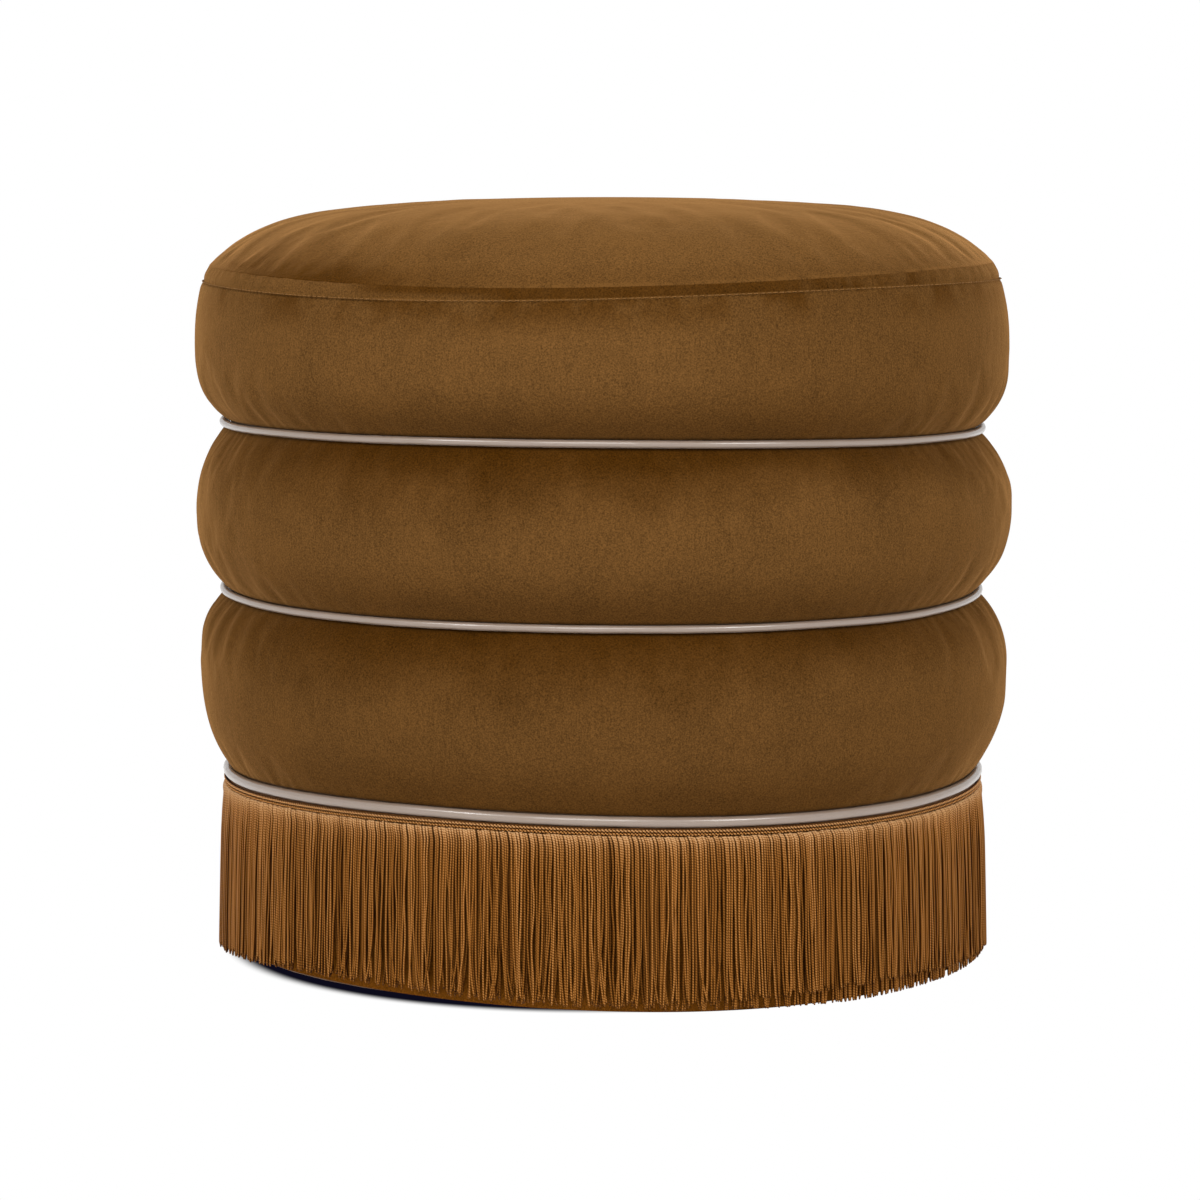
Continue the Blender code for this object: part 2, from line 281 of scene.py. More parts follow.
# %% A value that writes Math nodes
class Value:
    """A number that varies over the surface. Sums with it add Math nodes."""

    def __init__(self, finish, socket):
        self.finish, self.socket = finish, socket

    def math(self, operation, first, second=0.0, clamp=False):
        settings = {"operation": operation, "use_clamp": clamp}
        return self.finish.add("Math", settings, {0: first, 1: second})

    def __add__(self, other):
        return self.math("ADD", self, other)

    def __sub__(self, other):
        return self.math("SUBTRACT", self, other)

    def __rsub__(self, other):
        return self.math("SUBTRACT", other, self)

    def __mul__(self, other):
        return self.math("MULTIPLY", self, other)

    def __truediv__(self, other):
        return self.math("DIVIDE", self, other)

    def __pow__(self, power):
        return self.math("POWER", self, power)

    def __abs__(self):
        return self.math("ABSOLUTE", self)

    def sine(self):
        return self.math("SINE", self)

    def whole(self):
        return self.math("FLOOR", self)

    def exponential(self):
        return self.math("EXPONENT", self)

    def fraction(self):
        return self.math("FRACT", self)

    def clamped(self):
        return self.math("ADD", self, 0.0, clamp=True)

    def rise(self, low, high):
        """0 below the low value, 1 above the high one, and a smooth step between."""
        sockets = {"Value": self, "From Min": low, "From Max": high}
        return self.finish.add("MapRange", {"interpolation_type": "SMOOTHSTEP"}, sockets)

    def fall(self, low, high):
        """1 below the low value, 0 above the high one, and a smooth step between."""
        return 1 - self.rise(low, high)

    __radd__, __rmul__ = __add__, __mul__


print("sums that write nodes: + - * / ** abs")

# %% A finish that holds the nodes
black = (0.0, 0.0, 0.0, 1.0)
white = (1.0, 1.0, 1.0, 1.0)


class Finish:
    """A material whose surface is one Principled shader, fed by what its nodes work out."""

    def __init__(self, name, roughness, **constants):
        self.material = bpy.data.materials.new(name)
        self.material.use_nodes = True
        self.tree = self.material.node_tree
        self.shader = self.tree.nodes["Principled BSDF"]
        self.shader.inputs["Roughness"].default_value = roughness
        for words, value in constants.items():
            socket = words.replace("_", " ").title().replace("Ior", "IOR")
            self.shader.inputs[socket].default_value = value
        self.position = self.add("TexCoord", output="Object")
        self.x, self.y, self.z = self.parts(self.position)

    def add(self, kind, settings=None, sockets=None, output=0):
        """A node of this kind: its settings first, then the values or links of its sockets."""
        node = self.tree.nodes.new("ShaderNode" + kind)
        for setting, value in (settings or {}).items():
            setattr(node, setting, value)
        for socket, value in (sockets or {}).items():
            if isinstance(value, Value):
                self.tree.links.new(value.socket, node.inputs[socket])
            else:
                node.inputs[socket].default_value = value
        return Value(self, node.outputs[output])

    def parts(self, vector):
        """The three numbers of a vector."""
        split = self.add("SeparateXYZ", sockets={0: vector}).socket.node
        return [Value(self, output) for output in split.outputs]

    def map_spot(self, name):
        """The two numbers that the piece's map holds."""
        return self.parts(self.add("UVMap", {"uv_map": name}))[:2]

    def noise(self, size, detail=2.0, stretch=(1, 1, 1), roughness=0.5):
        """Noise from 0 to 1, whose lumps are about this size in metres, times the stretch."""
        scale = [1 / (size * part) for part in stretch]
        scaled = self.add("VectorMath", {"operation": "MULTIPLY"}, {0: self.position, 1: scale})
        sockets = {"Vector": scaled, "Scale": 1.0, "Detail": detail, "Roughness": roughness}
        return self.add("TexNoise", {}, sockets)

    def cells(self, per_metre, feature="F1"):
        """The distance within cells of which this many lie along a metre."""
        sockets = {"Vector": self.position, "Scale": per_metre}
        return self.add("TexVoronoi", {"feature": feature}, sockets)

    def mix(self, share, first, second):
        """The first colour where the share is 0 and the second where it is 1."""
        settings = {"data_type": "RGBA", "blend_type": "MIX"}
        return self.add("Mix", settings, {0: share, 6: first, 7: second}, output=2)

    def feed(self, socket, value):
        """Links a worked-out value to a socket of the shader."""
        self.tree.links.new(value.socket, self.shader.inputs[socket])

    def colour(self, share, first, second):
        """Feeds the shader's colour with a mix of two."""
        self.feed("Base Color", self.mix(share, first, second))

    def bump(self, height, depth, under=None):
        """Raises the surface by height times depth metres, on top of the bump under it."""
        sockets = {"Height": height, "Distance": depth, "Strength": 1.0}
        if under is not None:
            sockets["Normal"] = under
        bumped = self.add("Bump", {}, sockets)
        self.feed("Normal", bumped)
        return bumped


print("a finish has", sum(not name.startswith("_") for name in vars(Finish)), "helpers")

# %% [markdown]
# ## Velvet
# Velvet is a cut pile: short upright fibres that look dark when you look down into them and bright
# where you see their sides, at the edge of a form. The shader's sheen gives that bright edge. The
# colour is a mix of two, the one that the pile shows lit and a redder deep one that is painted
# shade. The top of each roll, where it comes out from under the ring above, is painted dark in
# ragged strokes, as painted shade under the ring and partly the pile combed downwards, and the
# cloth is painted darker again where it dives into the groove below, as painted shade in the
# groove. A noise alone would put those strokes anywhere, so each cover carries a map of how far
# every point lies below the ring above it and above the ring below it.

# %% The velvet's colours, its lumps and the seam's lines
# The lit colour of the velvet and its deep one, which stands for painted shade; the plinth's pair is
# redder.
velvet_lit_and_shaded_colours = ((0.168, 0.0775, 0.0208, 1.0), (0.070, 0.0244, 0.0018, 1.0))
shaded_colours = ((0.245, 0.083, 0.0085, 1.0), (0.070, 0.0244, 0.0018, 1.0))
sheen_colour = (1.0, 0.52, 0.19, 1.0)
patch_size, stroke_size, grain_size, pile_size = 0.045, 0.010, 0.0009, 0.0011
patch_depth, stroke_depth, pile_depth = 0.0009, 0.0003, 0.0003
patch_tone, stroke_tone, grain_tone, warp_tone, tone_drop = 0.30, 0.14, 1.25, 0.20, 0.225
patch_lit, patch_across = 0.1, 0.06
stitch_drop = 0.0095
stitch_level = seam_level - stitch_drop
stitch_count = 382
ledge_height = 0.0093
print("patches", patch_size, "m and strokes", stroke_size, "m; stitches", stitch_drop, "m down")

# %% [markdown]
# ## Painted shade and light on the velvet
# The pile looks darker or lighter where a hand has brushed it, and the velvet's colour also holds
# painted shade under the rings, in the grooves, on the ledge under the seam and along the
# stitches, and a few painted highlights. These places are soft patches, so each is a product of
# smooth steps: so far across, so far below a ring, broken up by the two noises of the cloth. A
# painted picture could hold them too, but it would not bend with the mesh. Each helper below
# returns what the lit share of the pile, or its tone, is multiplied by. A pair in brackets says
# where a step starts and where it is complete, in metres from the axis, from the ring above or
# from the ring below. A single number says how much a part counts.

# %% Painted shade on the rolls
# The noises and ring distances from which the painted shade is worked out.
NapAndShade = namedtuple("NapAndShade", "finish patches strokes across down up")
far_sides = (0.13, 0.22)
right_half = (0.02, 0.14)
top_strokes = (-0.005, 0.054)
ragged_by_strokes, ragged_by_patches = 0.016, 0.026
right_shorter, right_lighter, far_lighter = 0.5, 0.08, 0.25
foot_aside, foot_sides = 0.01, (0.12, 0.21)
foot_height = (0.002, 0.036)
foot_lighter = 0.5
foot_edge, foot_edge_light = (0.0, 0.010), 0.10


def roll_top_shade(nap_and_shade, darkness):
    """Painted shade at the top of a roll, under the ring above: the lit share is dark in ragged
    strokes, less so at the right and at the far sides.
    """
    far_part = abs(nap_and_shade.across).rise(*far_sides)
    right_part = nap_and_shade.across.rise(*right_half)
    ragged = nap_and_shade.down * (1 + right_part * right_shorter) + (nap_and_shade.strokes - 0.5) * ragged_by_strokes
    ragged = ragged + (nap_and_shade.patches - 0.5) * ragged_by_patches
    shown = 1 - right_part * right_lighter - far_part * far_lighter
    return 1 - darkness * shown * ragged.fall(*top_strokes)


def roll_foot_shade(nap_and_shade, darkness):
    """Painted shade at the foot of a roll, where the cloth dives into the groove: the lit share is
    darker there, less so at the sides.
    """
    side_part = abs(nap_and_shade.across + foot_aside).rise(*foot_sides)
    return 1 - darkness * (1 - side_part * foot_lighter) * nap_and_shade.up.fall(*foot_height)


print("the nap is dark within", top_strokes[1], "m below a ring and", foot_height[1], "m above one")

# %% Painted shade and highlight on the ledge between the seam and the stitches
ledge_start = (-0.0005, 0.0004)
ledge_end = (ledge_height - 0.0016, ledge_height)
ledge_lower = (ledge_height * 0.30, ledge_height * 0.75)
welt_start = (ledge_height - 0.0020, ledge_height - 0.0010)
welt_end = (ledge_height - 0.0004, ledge_height + 0.0004)
under_start = (ledge_height, ledge_height + 0.0008)
under_end = (ledge_height, 0.034)
under_dark, under_patch_dark, under_patches = 0.15, 0.60, (0.60, 0.82)
shade_start, shade_end = (-0.155, -0.115), (0.17, 0.21)
shade_breaks, break_strokes = (0.09, 0.14), (0.28, 0.74)
most_broken, stroke_unbroken, left_unshaded = 0.9, 0.8, 0.6
least_shade, plain_shade, stroke_shade = 0.06, 0.50, 0.45
left_of, far_left_of = (-0.085, -0.045), (-0.135, -0.105)
right_of, right_dark = (0.02, 0.11), 0.14
welt_light, left_welt_light = 0.14, 0.22
hole_half, hole_drop = 0.0008, 0.0007
hole_span, hole_dark, far_left_dark = (-0.2, 0.7), 0.36, 0.34


def ledge_shade(nap_and_shade, left_part):
    """The lit share on the ledge: in shadow over most of the front, broken towards the right."""
    inside = nap_and_shade.down.rise(*ledge_start) * nap_and_shade.down.fall(*ledge_end)
    lower_half = nap_and_shade.down.rise(*ledge_lower)
    unbroken = nap_and_shade.strokes.rise(*break_strokes) * stroke_unbroken
    broken = nap_and_shade.across.rise(*shade_breaks) * (most_broken - unbroken)
    shaded = nap_and_shade.across.rise(*shade_start) * nap_and_shade.across.fall(*shade_end)
    shaded = shaded * (1 - left_part * lower_half * left_unshaded)
    shade = plain_shade + nap_and_shade.strokes * stroke_shade
    return 1 - inside * (least_shade + shaded * (1 - broken) * shade)


def ledge_welt_highlight(nap_and_shade, left_part, far_left):
    """A painted highlight on the ledge's lower edge, brightest at the left, where it stands out to
    the light.
    """
    welt = nap_and_shade.down.rise(*welt_start) * nap_and_shade.down.fall(*welt_end)
    return 1 + welt * (welt_light + left_part * (1 - far_left) * left_welt_light)


def under_ledge_shade(nap_and_shade):
    """Painted shade just under the stitches: the lit share is darker in a band there, and darker
    still in patches.
    """
    under = nap_and_shade.down.rise(*under_start) * nap_and_shade.down.fall(*under_end)
    patchy = (nap_and_shade.patches + nap_and_shade.strokes * 0.4).rise(*under_patches)
    return 1 - under * (under_dark + patchy * under_patch_dark)


def stitch_hole_shade(nap_and_shade, far_left):
    """Painted shade along the stitches: the tone is dark where the thread dives in, and along a
    line at the far left.
    """
    turn = nap_and_shade.finish.y.math("ARCTAN2", nap_and_shade.finish.y, nap_and_shade.finish.x)
    line = (1 - abs(nap_and_shade.down - stitch_drop - hole_drop) * (1 / hole_half)).clamped()
    holes = (turn * stitch_count + full_turn / 4).sine().rise(*hole_span)
    return 1 - line * (holes * hole_dark + far_left * far_left_dark)


print("ledge:", ledge_height * 1000, "mm high")

# %% Painted shade and light on the crown
crown_left, left_by_patches = (-0.18, -0.06), 0.08
crown_strokes = (-0.006, 0.042)
crown_by_strokes, crown_by_patches = 0.020, 0.050
stroke_dark, left_stroke_dark = 0.05, 0.72
crown_rim, rim_dark, left_rim_dark = (0.001, 0.013), 0.24, 0.60
crown_sides, crown_light, sides_lose = (0.10, 0.21), 1.09, 0.12
edge_width, edge_start = (0.0006, 0.0018), (-0.06, -0.03)
edge_strokes, edge_light = (0.40, 0.56), 0.26


def crown_shade_and_light(nap_and_shade, lit, tone):
    """Painted shade and light on the crown: the lit share is painted dark at the front left and
    along the whole rim, the tone is painted a little brighter in the middle and less bright at the
    far sides, and a painted highlight lies where the edge rolls under."""
    ragged = nap_and_shade.down + (nap_and_shade.strokes - 0.5) * crown_by_strokes
    ragged = ragged + (nap_and_shade.patches - 0.5) * crown_by_patches
    left_part = (nap_and_shade.finish.x + (nap_and_shade.patches - 0.5) * left_by_patches).fall(*crown_left)
    lit = lit * (1 - (stroke_dark + left_part * left_stroke_dark) * ragged.fall(*crown_strokes))
    lit = lit * (1 - nap_and_shade.down.fall(*crown_rim) * (rim_dark + left_part * left_rim_dark))
    tone = tone * (crown_light - abs(nap_and_shade.finish.x).rise(*crown_sides) * sides_lose)
    edge = nap_and_shade.down.fall(*edge_width) * nap_and_shade.finish.x.rise(*edge_start)
    tone = tone * (1 + edge * nap_and_shade.strokes.rise(*edge_strokes) * edge_light)
    return lit, tone


print("the crown's rim is dark for", crown_rim[1], "m")

# %% The velvet finish, one for each cover
def velvet_finish(
    name, top_shade=0.0, foot_shade=0.0, deep=0.0, seam=False, crown=False,
    colours=velvet_lit_and_shaded_colours, sheen=0.42, spread=0.33,
):
    """Velvet with painted shade: it shows its deep colour below the ring above it and above the ring
    below it, and over the whole cover by its deep share, and the helpers above paint highlights into
    its tone.
    """
    finish = Finish(
        name, 0.9, sheen_weight=sheen, sheen_roughness=spread, sheen_tint=sheen_colour,
        specular_ior_level=0.0,
    )
    patches = finish.noise(patch_size, detail=3, stretch=(1, 1, 0.9))
    strokes = finish.noise(stroke_size, detail=3, stretch=(1, 1, 2.4), roughness=0.6)
    grain = finish.noise(grain_size, detail=1, roughness=0.7)
    warp = finish.noise(grain_size, detail=0, stretch=(1, 1, 12))
    tone = patches * patch_tone + strokes * stroke_tone + grain * grain_tone + warp * warp_tone - tone_drop
    # The deep share paints the whole cover darker, as painted shade; the patches vary the lit share at
    # random.
    lit = 1 - deep - (patches - 0.5) * patch_lit
    across = finish.x + (patches - 0.5) * patch_across
    if top_shade or foot_shade or crown:
        nap_and_shade = NapAndShade(finish, patches, strokes, across, *finish.map_spot("rings"))
    if top_shade:
        lit = lit * roll_top_shade(nap_and_shade, top_shade)
    if foot_shade:
        lit = lit * roll_foot_shade(nap_and_shade, foot_shade)
        # Painted light: the tone is brighter just above the groove at the roll's foot.
        tone = tone * (1 + nap_and_shade.up.fall(*foot_edge) * foot_edge_light)
    if seam:
        # Painted shade on the ledge, under the stitches and in the stitch holes, a painted highlight on
        # the welt, and the cover darker towards the right.
        left_part, far_left = across.fall(*left_of), across.fall(*far_left_of)
        right_side = across.rise(*right_of)
        lit = lit * ledge_shade(nap_and_shade, left_part) * under_ledge_shade(nap_and_shade) * (1 - right_side * right_dark)
        tone = tone * ledge_welt_highlight(nap_and_shade, left_part, far_left) * stitch_hole_shade(nap_and_shade, far_left)
    if crown:
        lit, tone = crown_shade_and_light(nap_and_shade, lit, tone)
    # The lit share mixes the lit colour towards the deep one, which is painted shade.
    finish.colour(tone, black, finish.mix(1 - lit, *colours))
    pile = finish.bump(finish.noise(pile_size, detail=2, roughness=0.6), pile_depth)
    combed = finish.bump(strokes, stroke_depth, pile)
    finish.bump(patches, patch_depth, combed)
    return finish.material


print("velvet, lit and deep:", velvet_lit_and_shaded_colours[0][:3], velvet_lit_and_shaded_colours[1][:3])

# %% [markdown]
# ## The three rolls
# A roll is a strip of velvet over a half-round strip of foam, drawn tight into a groove at each
# edge. The strip could be swelled from a flat band by a simulation alone, but then its width would
# depend on the cloth's settings. So its section is a formula first: the radius falls away from the
# belly by a power of the distance, and a higher power keeps the roll full for longer. The belly
# lies at a share of the roll's height, tilts across the ottoman and is shifted a little sideways.

# %% The rolls' sections
Roll = namedtuple(
    "Roll", "low high low_ring high_ring low_radius high_radius belly share tilt shift powers"
)
groove_radius = piping_radius - edge_setback


def drawn_edge(name, wire, side):
    """The radius and level where velvet meets a piping from above (side 1) or below (side -1)."""
    return groove_radius - wire / 2, piping_levels[name] + side * (wire / 2 + groove_gap)


def roll_between(low_name, low_wire, high_name, high_wire, band, share, tilt, shift, powers):
    """A roll drawn in to a piping at both of its edges."""
    low_radius, low = drawn_edge(low_name, low_wire, 1)
    high_radius, high = drawn_edge(high_name, high_wire, -1)
    return Roll(
        low, high, low_name, high_name, low_radius, high_radius, widest(band), share, tilt, shift,
        powers,
    )


lower_roll = roll_between(
    "lower", stout_piping, "middle", slim_piping, "band_lower",
    share=0.553, tilt=-0.0047, shift=0.0008, powers=(2.4, 2.8),
)
middle_roll = roll_between(
    "middle", slim_piping, "upper", slim_piping, "band_middle",
    share=0.490, tilt=0.0004, shift=0.0011, powers=(2.5, 2.4),
)
upper_radius, upper_low = drawn_edge("upper", slim_piping, 1)
upper_roll = Roll(
    upper_low, seam_level - clearance, "upper", "seam", upper_radius, seam_radius,
    widest("band_upper"), share=0.472, tilt=-0.0006, shift=-0.0003, powers=(3.05, 2.5),
)


def roll_face(roll, marks, turn, inset=0.0):
    """The radii and levels of a roll's face, a row for each mark and a column for each angle. A
    mark is -1 at the lower edge, 0 at the belly and 1 at the upper edge. The inset is measured
    inwards from the cloth's surface. Each ring's own shift to the right is in its radii."""
    marks = np.asarray(marks)[:, None]
    low = marks < 0
    reach = np.abs(marks)
    belly_level = roll.low + (roll.high - roll.low) * roll.share + roll.tilt * np.cos(turn)
    edge_radius = np.where(low, roll.low_radius, roll.high_radius)
    edge_level = np.where(
        low, roll.low + inset + rise(roll.low_ring, turn), roll.high - inset + rise(roll.high_ring, turn)
    )
    power = np.where(low, *roll.powers)
    belly = roll.belly - inset
    edge_shift = np.where(low, sideways[roll.low_ring], sideways[roll.high_ring])
    shift = roll.shift + (edge_shift - roll.shift) * reach**2
    radius = belly - (belly - edge_radius) * reach**power + shift * np.cos(turn)
    level = belly_level + (edge_level - belly_level) * reach
    return radius, level


for name, roll in (("lower", lower_roll), ("middle", middle_roll), ("upper", upper_roll)):
    height = (roll.high - roll.low) * 1000
    print(name, "roll:", round(height, 1), "mm high, belly", round(roll.belly * 1000, 1))

# %% [markdown]
# ## Letting the cloth settle
# A formula alone is too perfect: real velvet is eased into its grooves with a little cloth to
# spare, and it puckers there. So each cover is handed to Blender's cloth solver for twenty frames.
# Its edges are pinned, the solver makes the cloth a touch too large, and pressure presses it
# outwards. The section is already the right size, so what a whole ring of points moves is taken
# back and only the unevenness round the ring is kept, up to a cap. The result is applied and
# subdivided once.

# %% The cloth solver
cloth_frames = 20
cloth_growth = 0.008
cloth_pressure = 3.0
cloth_mass = 0.35
cloth_stiffness = 25
cloth_bending = 1.5


def solve_cloth(piece, held):
    """Runs the cloth solver with the held points pinned, and returns how far each point moved."""
    start = places(piece)
    pins = piece.vertex_groups.new(name="held")
    pins.add([int(number) for number in np.flatnonzero(held)], 1.0, "REPLACE")
    cloth = piece.modifiers.new("cloth", "CLOTH")
    cloth.settings.quality = 6
    cloth.settings.mass = cloth_mass
    cloth.settings.tension_stiffness = cloth.settings.compression_stiffness = cloth_stiffness
    cloth.settings.bending_stiffness = cloth_bending
    cloth.settings.vertex_group_mass = "held"
    cloth.settings.use_pressure = True
    cloth.settings.uniform_pressure_force = cloth_pressure
    cloth.settings.shrink_min = -cloth_growth
    cloth.settings.effector_weights.gravity = 0.0
    cloth.point_cache.frame_start, cloth.point_cache.frame_end = 1, cloth_frames
    for frame_number in range(1, cloth_frames + 1):
        bpy.context.scene.frame_set(frame_number)
    moved = places(shown_form(piece)) - start
    piece.modifiers.clear()
    bpy.context.scene.frame_set(1)
    return moved


print("the cloth solver runs for", cloth_frames, "frames")

# %% Settling a cover
def settle(piece, held, rings, cap):
    """Lets the cloth solver move a cover and keeps what is uneven round it. Points of one ring
    share a number, and each ring keeps its radius and level on average."""
    start = places(piece)
    moved = solve_cloth(piece, held)
    most = float(np.linalg.norm(moved, axis=1).max())
    outwards = around(1.0, angle_of(start), 0.0)
    away = (moved * outwards).sum(1)
    members = np.maximum(np.bincount(rings), 1)
    ring_away = np.bincount(rings, away) / members
    ring_up = np.bincount(rings, moved[:, 2]) / members
    moved -= outwards * ring_away[rings][:, None]
    moved[:, 2] -= ring_up[rings]
    length = np.linalg.norm(moved, axis=1, keepdims=True)
    moved *= np.minimum(1.0, cap / np.maximum(length, 1e-9))
    place(piece, start + moved)
    print(piece.name, "moved up to", round(most * 1000, 2), "mm and kept", cap * 1000)
    piece.modifiers.new("finer", "SUBSURF").levels = 1
    apply_modifiers(piece)
    piece.data.shade_smooth()


def push(piece, amount):
    """Moves each point away from the axis by amount(angle, level)."""
    points = places(piece)
    angle = angle_of(points)
    outwards = around(1.0, angle, 0.0)
    place(piece, points + amount(angle, points[:, 2])[:, None] * outwards)


def thicken(piece):
    """Gives a cover the thickness of velvet, on its inner side."""
    cloth = piece.modifiers.new("thickness", "SOLIDIFY")
    cloth.thickness, cloth.offset = velvet - clearance, -1


print("a cover keeps its rings' sizes:", "with the solver")

# %% The covers of the rolls
cover_rows = 34
tuck_depth = 0.0019
tuck_drop = 0.0003
pucker_reach = 0.008
pucker_size = 0.00016
pucker_waves = (60, 170)
swell_size = 0.00035
swell_waves = (2, 9)
cover_cap = 0.0006


def near(at, angle, level, ring, reach):
    """1 on a ring, dying away over this reach above and below it."""
    return np.exp(-np.abs(at - level - rise(ring, angle)) / reach)


def cover(name, roll, seed, finish, sewn_top=False):
    """The velvet cover of a roll, with its edges tucked into the grooves."""
    marks = np.sin(np.linspace(-math.pi / 2, math.pi / 2, cover_rows))
    turn = angles_of(columns)
    radius, level = roll_face(roll, marks, turn)
    last_drop = 0.0 if sewn_top else tuck_drop
    radius = np.concatenate([radius[:1] - tuck_depth, radius, radius[-1:] - tuck_depth])
    level = np.concatenate([level[:1] - tuck_drop, level, level[-1:] + last_drop])
    rows = around(radius, turn, level)
    faces = grid_faces(len(radius), columns)
    piece = add_piece("velvet_band_" + name, rows, faces, finish, ["band_" + name])
    held = np.zeros(rows.shape[:2], bool)
    held[:2] = held[-2:] = True
    rings = np.repeat(np.arange(len(radius)), columns)
    settle(piece, held.ravel(), rings, cover_cap)

    def ease(angle, at):
        """Puckers that die away from each groove, and slow swells between them."""
        low_pucker = near(at, angle, roll.low, roll.low_ring, pucker_reach)
        high_pucker = near(at, angle, roll.high, roll.high_ring, pucker_reach)
        bulge = np.clip(1 - low_pucker - high_pucker, 0, 1)
        if sewn_top:
            high_pucker *= 0
        amount = pucker_size * low_pucker * wander(angle, pucker_waves, seed)
        amount += pucker_size * high_pucker * wander(angle, pucker_waves, seed + 1)
        return amount + swell_size * bulge * wander(angle, swell_waves, seed + 2)

    push(piece, ease)
    points = places(piece)
    angle = angle_of(points)
    below = roll.high + rise(roll.high_ring, angle) - points[:, 2]
    if sewn_top:
        strip = stitch_drop + rise("seam", angle) - rise("stitch", angle)
        below = np.where(below < strip, below * stitch_drop / strip, below - strip + stitch_drop)
    above = points[:, 2] - roll.low - rise(roll.low_ring, angle)
    map_points(piece, "rings", np.stack([below, above], -1))
    return piece


# How dark each roll's foot is painted, as painted shade in its groove; the deep share paints the lower and
# middle covers darker as a whole.
groove_shade = 0.42
lower_finish = velvet_finish("velvet_lower", top_shade=0.92, foot_shade=groove_shade, deep=0.18)
lower_cover = cover("lower", lower_roll, 11, lower_finish)
thicken(lower_cover)
middle_finish = velvet_finish("velvet_middle", top_shade=0.96, foot_shade=groove_shade, deep=0.08)
middle_cover = cover("middle", middle_roll, 21, middle_finish)
thicken(middle_cover)
upper_finish = velvet_finish("velvet_upper", foot_shade=groove_shade, seam=True)
upper_cover = cover("upper", upper_roll, 31, upper_finish, sewn_top=True)
print("a roll's cover has", len(lower_cover.data.polygons), "faces")

# %% [markdown]
# ## The top-stitching
# The seat's edge is sewn, and a second row of stitches runs below the seam to hold its allowance
# flat. The thread pulls the velvet into a shallow valley. A painted line of dashes would lie flat
# on the cloth, so the valley is pressed into the cover's mesh, and every stitch is its own short
# arched tube of thread that dives into the velvet at both ends.

# %% The valley under the stitches
valley_depth = 0.0009
valley_width = 0.0017
dimple_share = 0.25
ledge_swell = 0.0003
ledge_width = 0.0022


def stitch_valley(angle, at):
    """How far the top-stitching presses the cover in, and how the strip above it swells."""
    away = at - stitch_level - rise("stitch", angle)
    dimples = 1 + dimple_share * np.cos(angle * stitch_count)
    pinch = -valley_depth * np.exp(-((away / valley_width) ** 2)) * dimples
    ledge = np.exp(-(((away - stitch_drop / 2) / ledge_width) ** 2))
    return pinch + ledge_swell * ledge


push(upper_cover, stitch_valley)
thicken(upper_cover)
print("the stitches' valley is up to", round(valley_depth * (1 + dimple_share) * 1000, 2), "mm deep")

# %% [markdown]
# ## Tubes
# Stitches, pipings, cords and yarns are all round things along a line. A curve object could carry
# a round section too, but 1,750 of them would be slow, and a curve gives no map of its own. So one
# helper turns many lines into one mesh, with a map that says how far round and how far along each
# place lies.

# %% The map of many tubes
quarter = 0.25


def upwards(lines):
    """A direction straight up for each point of these lines."""
    return np.broadcast_to(np.array([0.0, 0.0, 1.0]), lines.shape)


def thread_map(piece, lines, sides, closed):
    """Gives tubes a map of how far round (1 a turn, plus 2 for each tube) and how far along each
    place is. The ends of open tubes are caps, whose corners share one spot."""
    count, points = lines.shape[:2]
    after_last = lines[:, :1] if closed else lines[:, -1:]
    steps = np.linalg.norm(np.diff(lines, axis=1, append=after_last), axis=2)
    along = np.concatenate([np.zeros((count, 1)), np.cumsum(steps, axis=1)], axis=1)
    ring_count = points if closed else points - 1
    row, side = np.divmod(np.arange(ring_count * sides), sides)
    corner_rows = np.stack([row, row, row + 1, row + 1], -1)
    corner_sides = np.stack([side, side + 1, side + 1, side], -1)
    turns = corner_sides / sides + quarter + 2 * np.arange(count)[:, None, None]
    spots = np.stack([turns, along[:, corner_rows]], -1).reshape(-1, 2)
    if not closed:
        cap_ends = np.stack([np.zeros(count), along[:, -1]], -1)
        cap_turns = np.broadcast_to(3 * quarter + 2 * np.arange(count)[:, None], (count, 2))
        ends = np.stack([cap_turns, cap_ends], -1).reshape(-1, 1, 2)
        spots = np.concatenate([spots, np.broadcast_to(ends, (2 * count, sides, 2)).reshape(-1, 2)])
    layer = piece.data.uv_layers.new(name="thread")
    layer.uv.foreach_set("vector", spots.astype(np.float32).ravel())


print("a tube's map starts", quarter, "of a turn round")

# %% Tubes, many to a mesh
def tubes(name, lines, across, outward, half_width, half_depth, sides, material, closed=False):
    """One mesh of many tubes. The lines are an array of tube, point and x, y, z, with a direction
    across and one outward at each point, and a half width and half depth along those two."""
    count, points = lines.shape[:2]
    turn = angles_of(sides)
    half_width = np.broadcast_to(half_width, (count, points))
    half_depth = np.broadcast_to(half_depth, (count, points))
    rings = lines[:, :, None] + (
        (half_width[..., None] * np.cos(turn))[..., None] * across[:, :, None]
        + (half_depth[..., None] * np.sin(turn))[..., None] * outward[:, :, None]
    )
    faces = grid_faces(points, sides, round_rows=closed)
    starts = points * sides * np.arange(count)
    every = (faces[None] + starts[:, None, None]).reshape(-1, 4)
    caps = []
    if not closed:
        first, last = np.arange(sides), points * sides - sides + np.arange(sides)[::-1]
        caps = [list(cap + start) for start in starts for cap in (first, last)]
    piece = add_piece(name, rings, every.tolist() + caps, material)
    thread_map(piece, lines, sides, closed)
    face_outwards(piece)
    return piece


print("tubes follow lines, with a map of how far round and how far along")

# %% [markdown]
# ## Thread
# Sewing thread, the cords' plies and the yarns are all twisted fibres: fine ribs that wind round.
# Their shade is painted in: dark in the ribs' creases, on each tube's flanks where it meets its
# neighbours and on the plies' backs, with a paler colour on the brightest places as a painted
# highlight. A picture of thread would stretch and repeat, so the ribs come from the tubes' own
# map, which says how far round and how far along each place lies. A random start for each strand
# keeps neighbours' ribs from lining up as a grid.

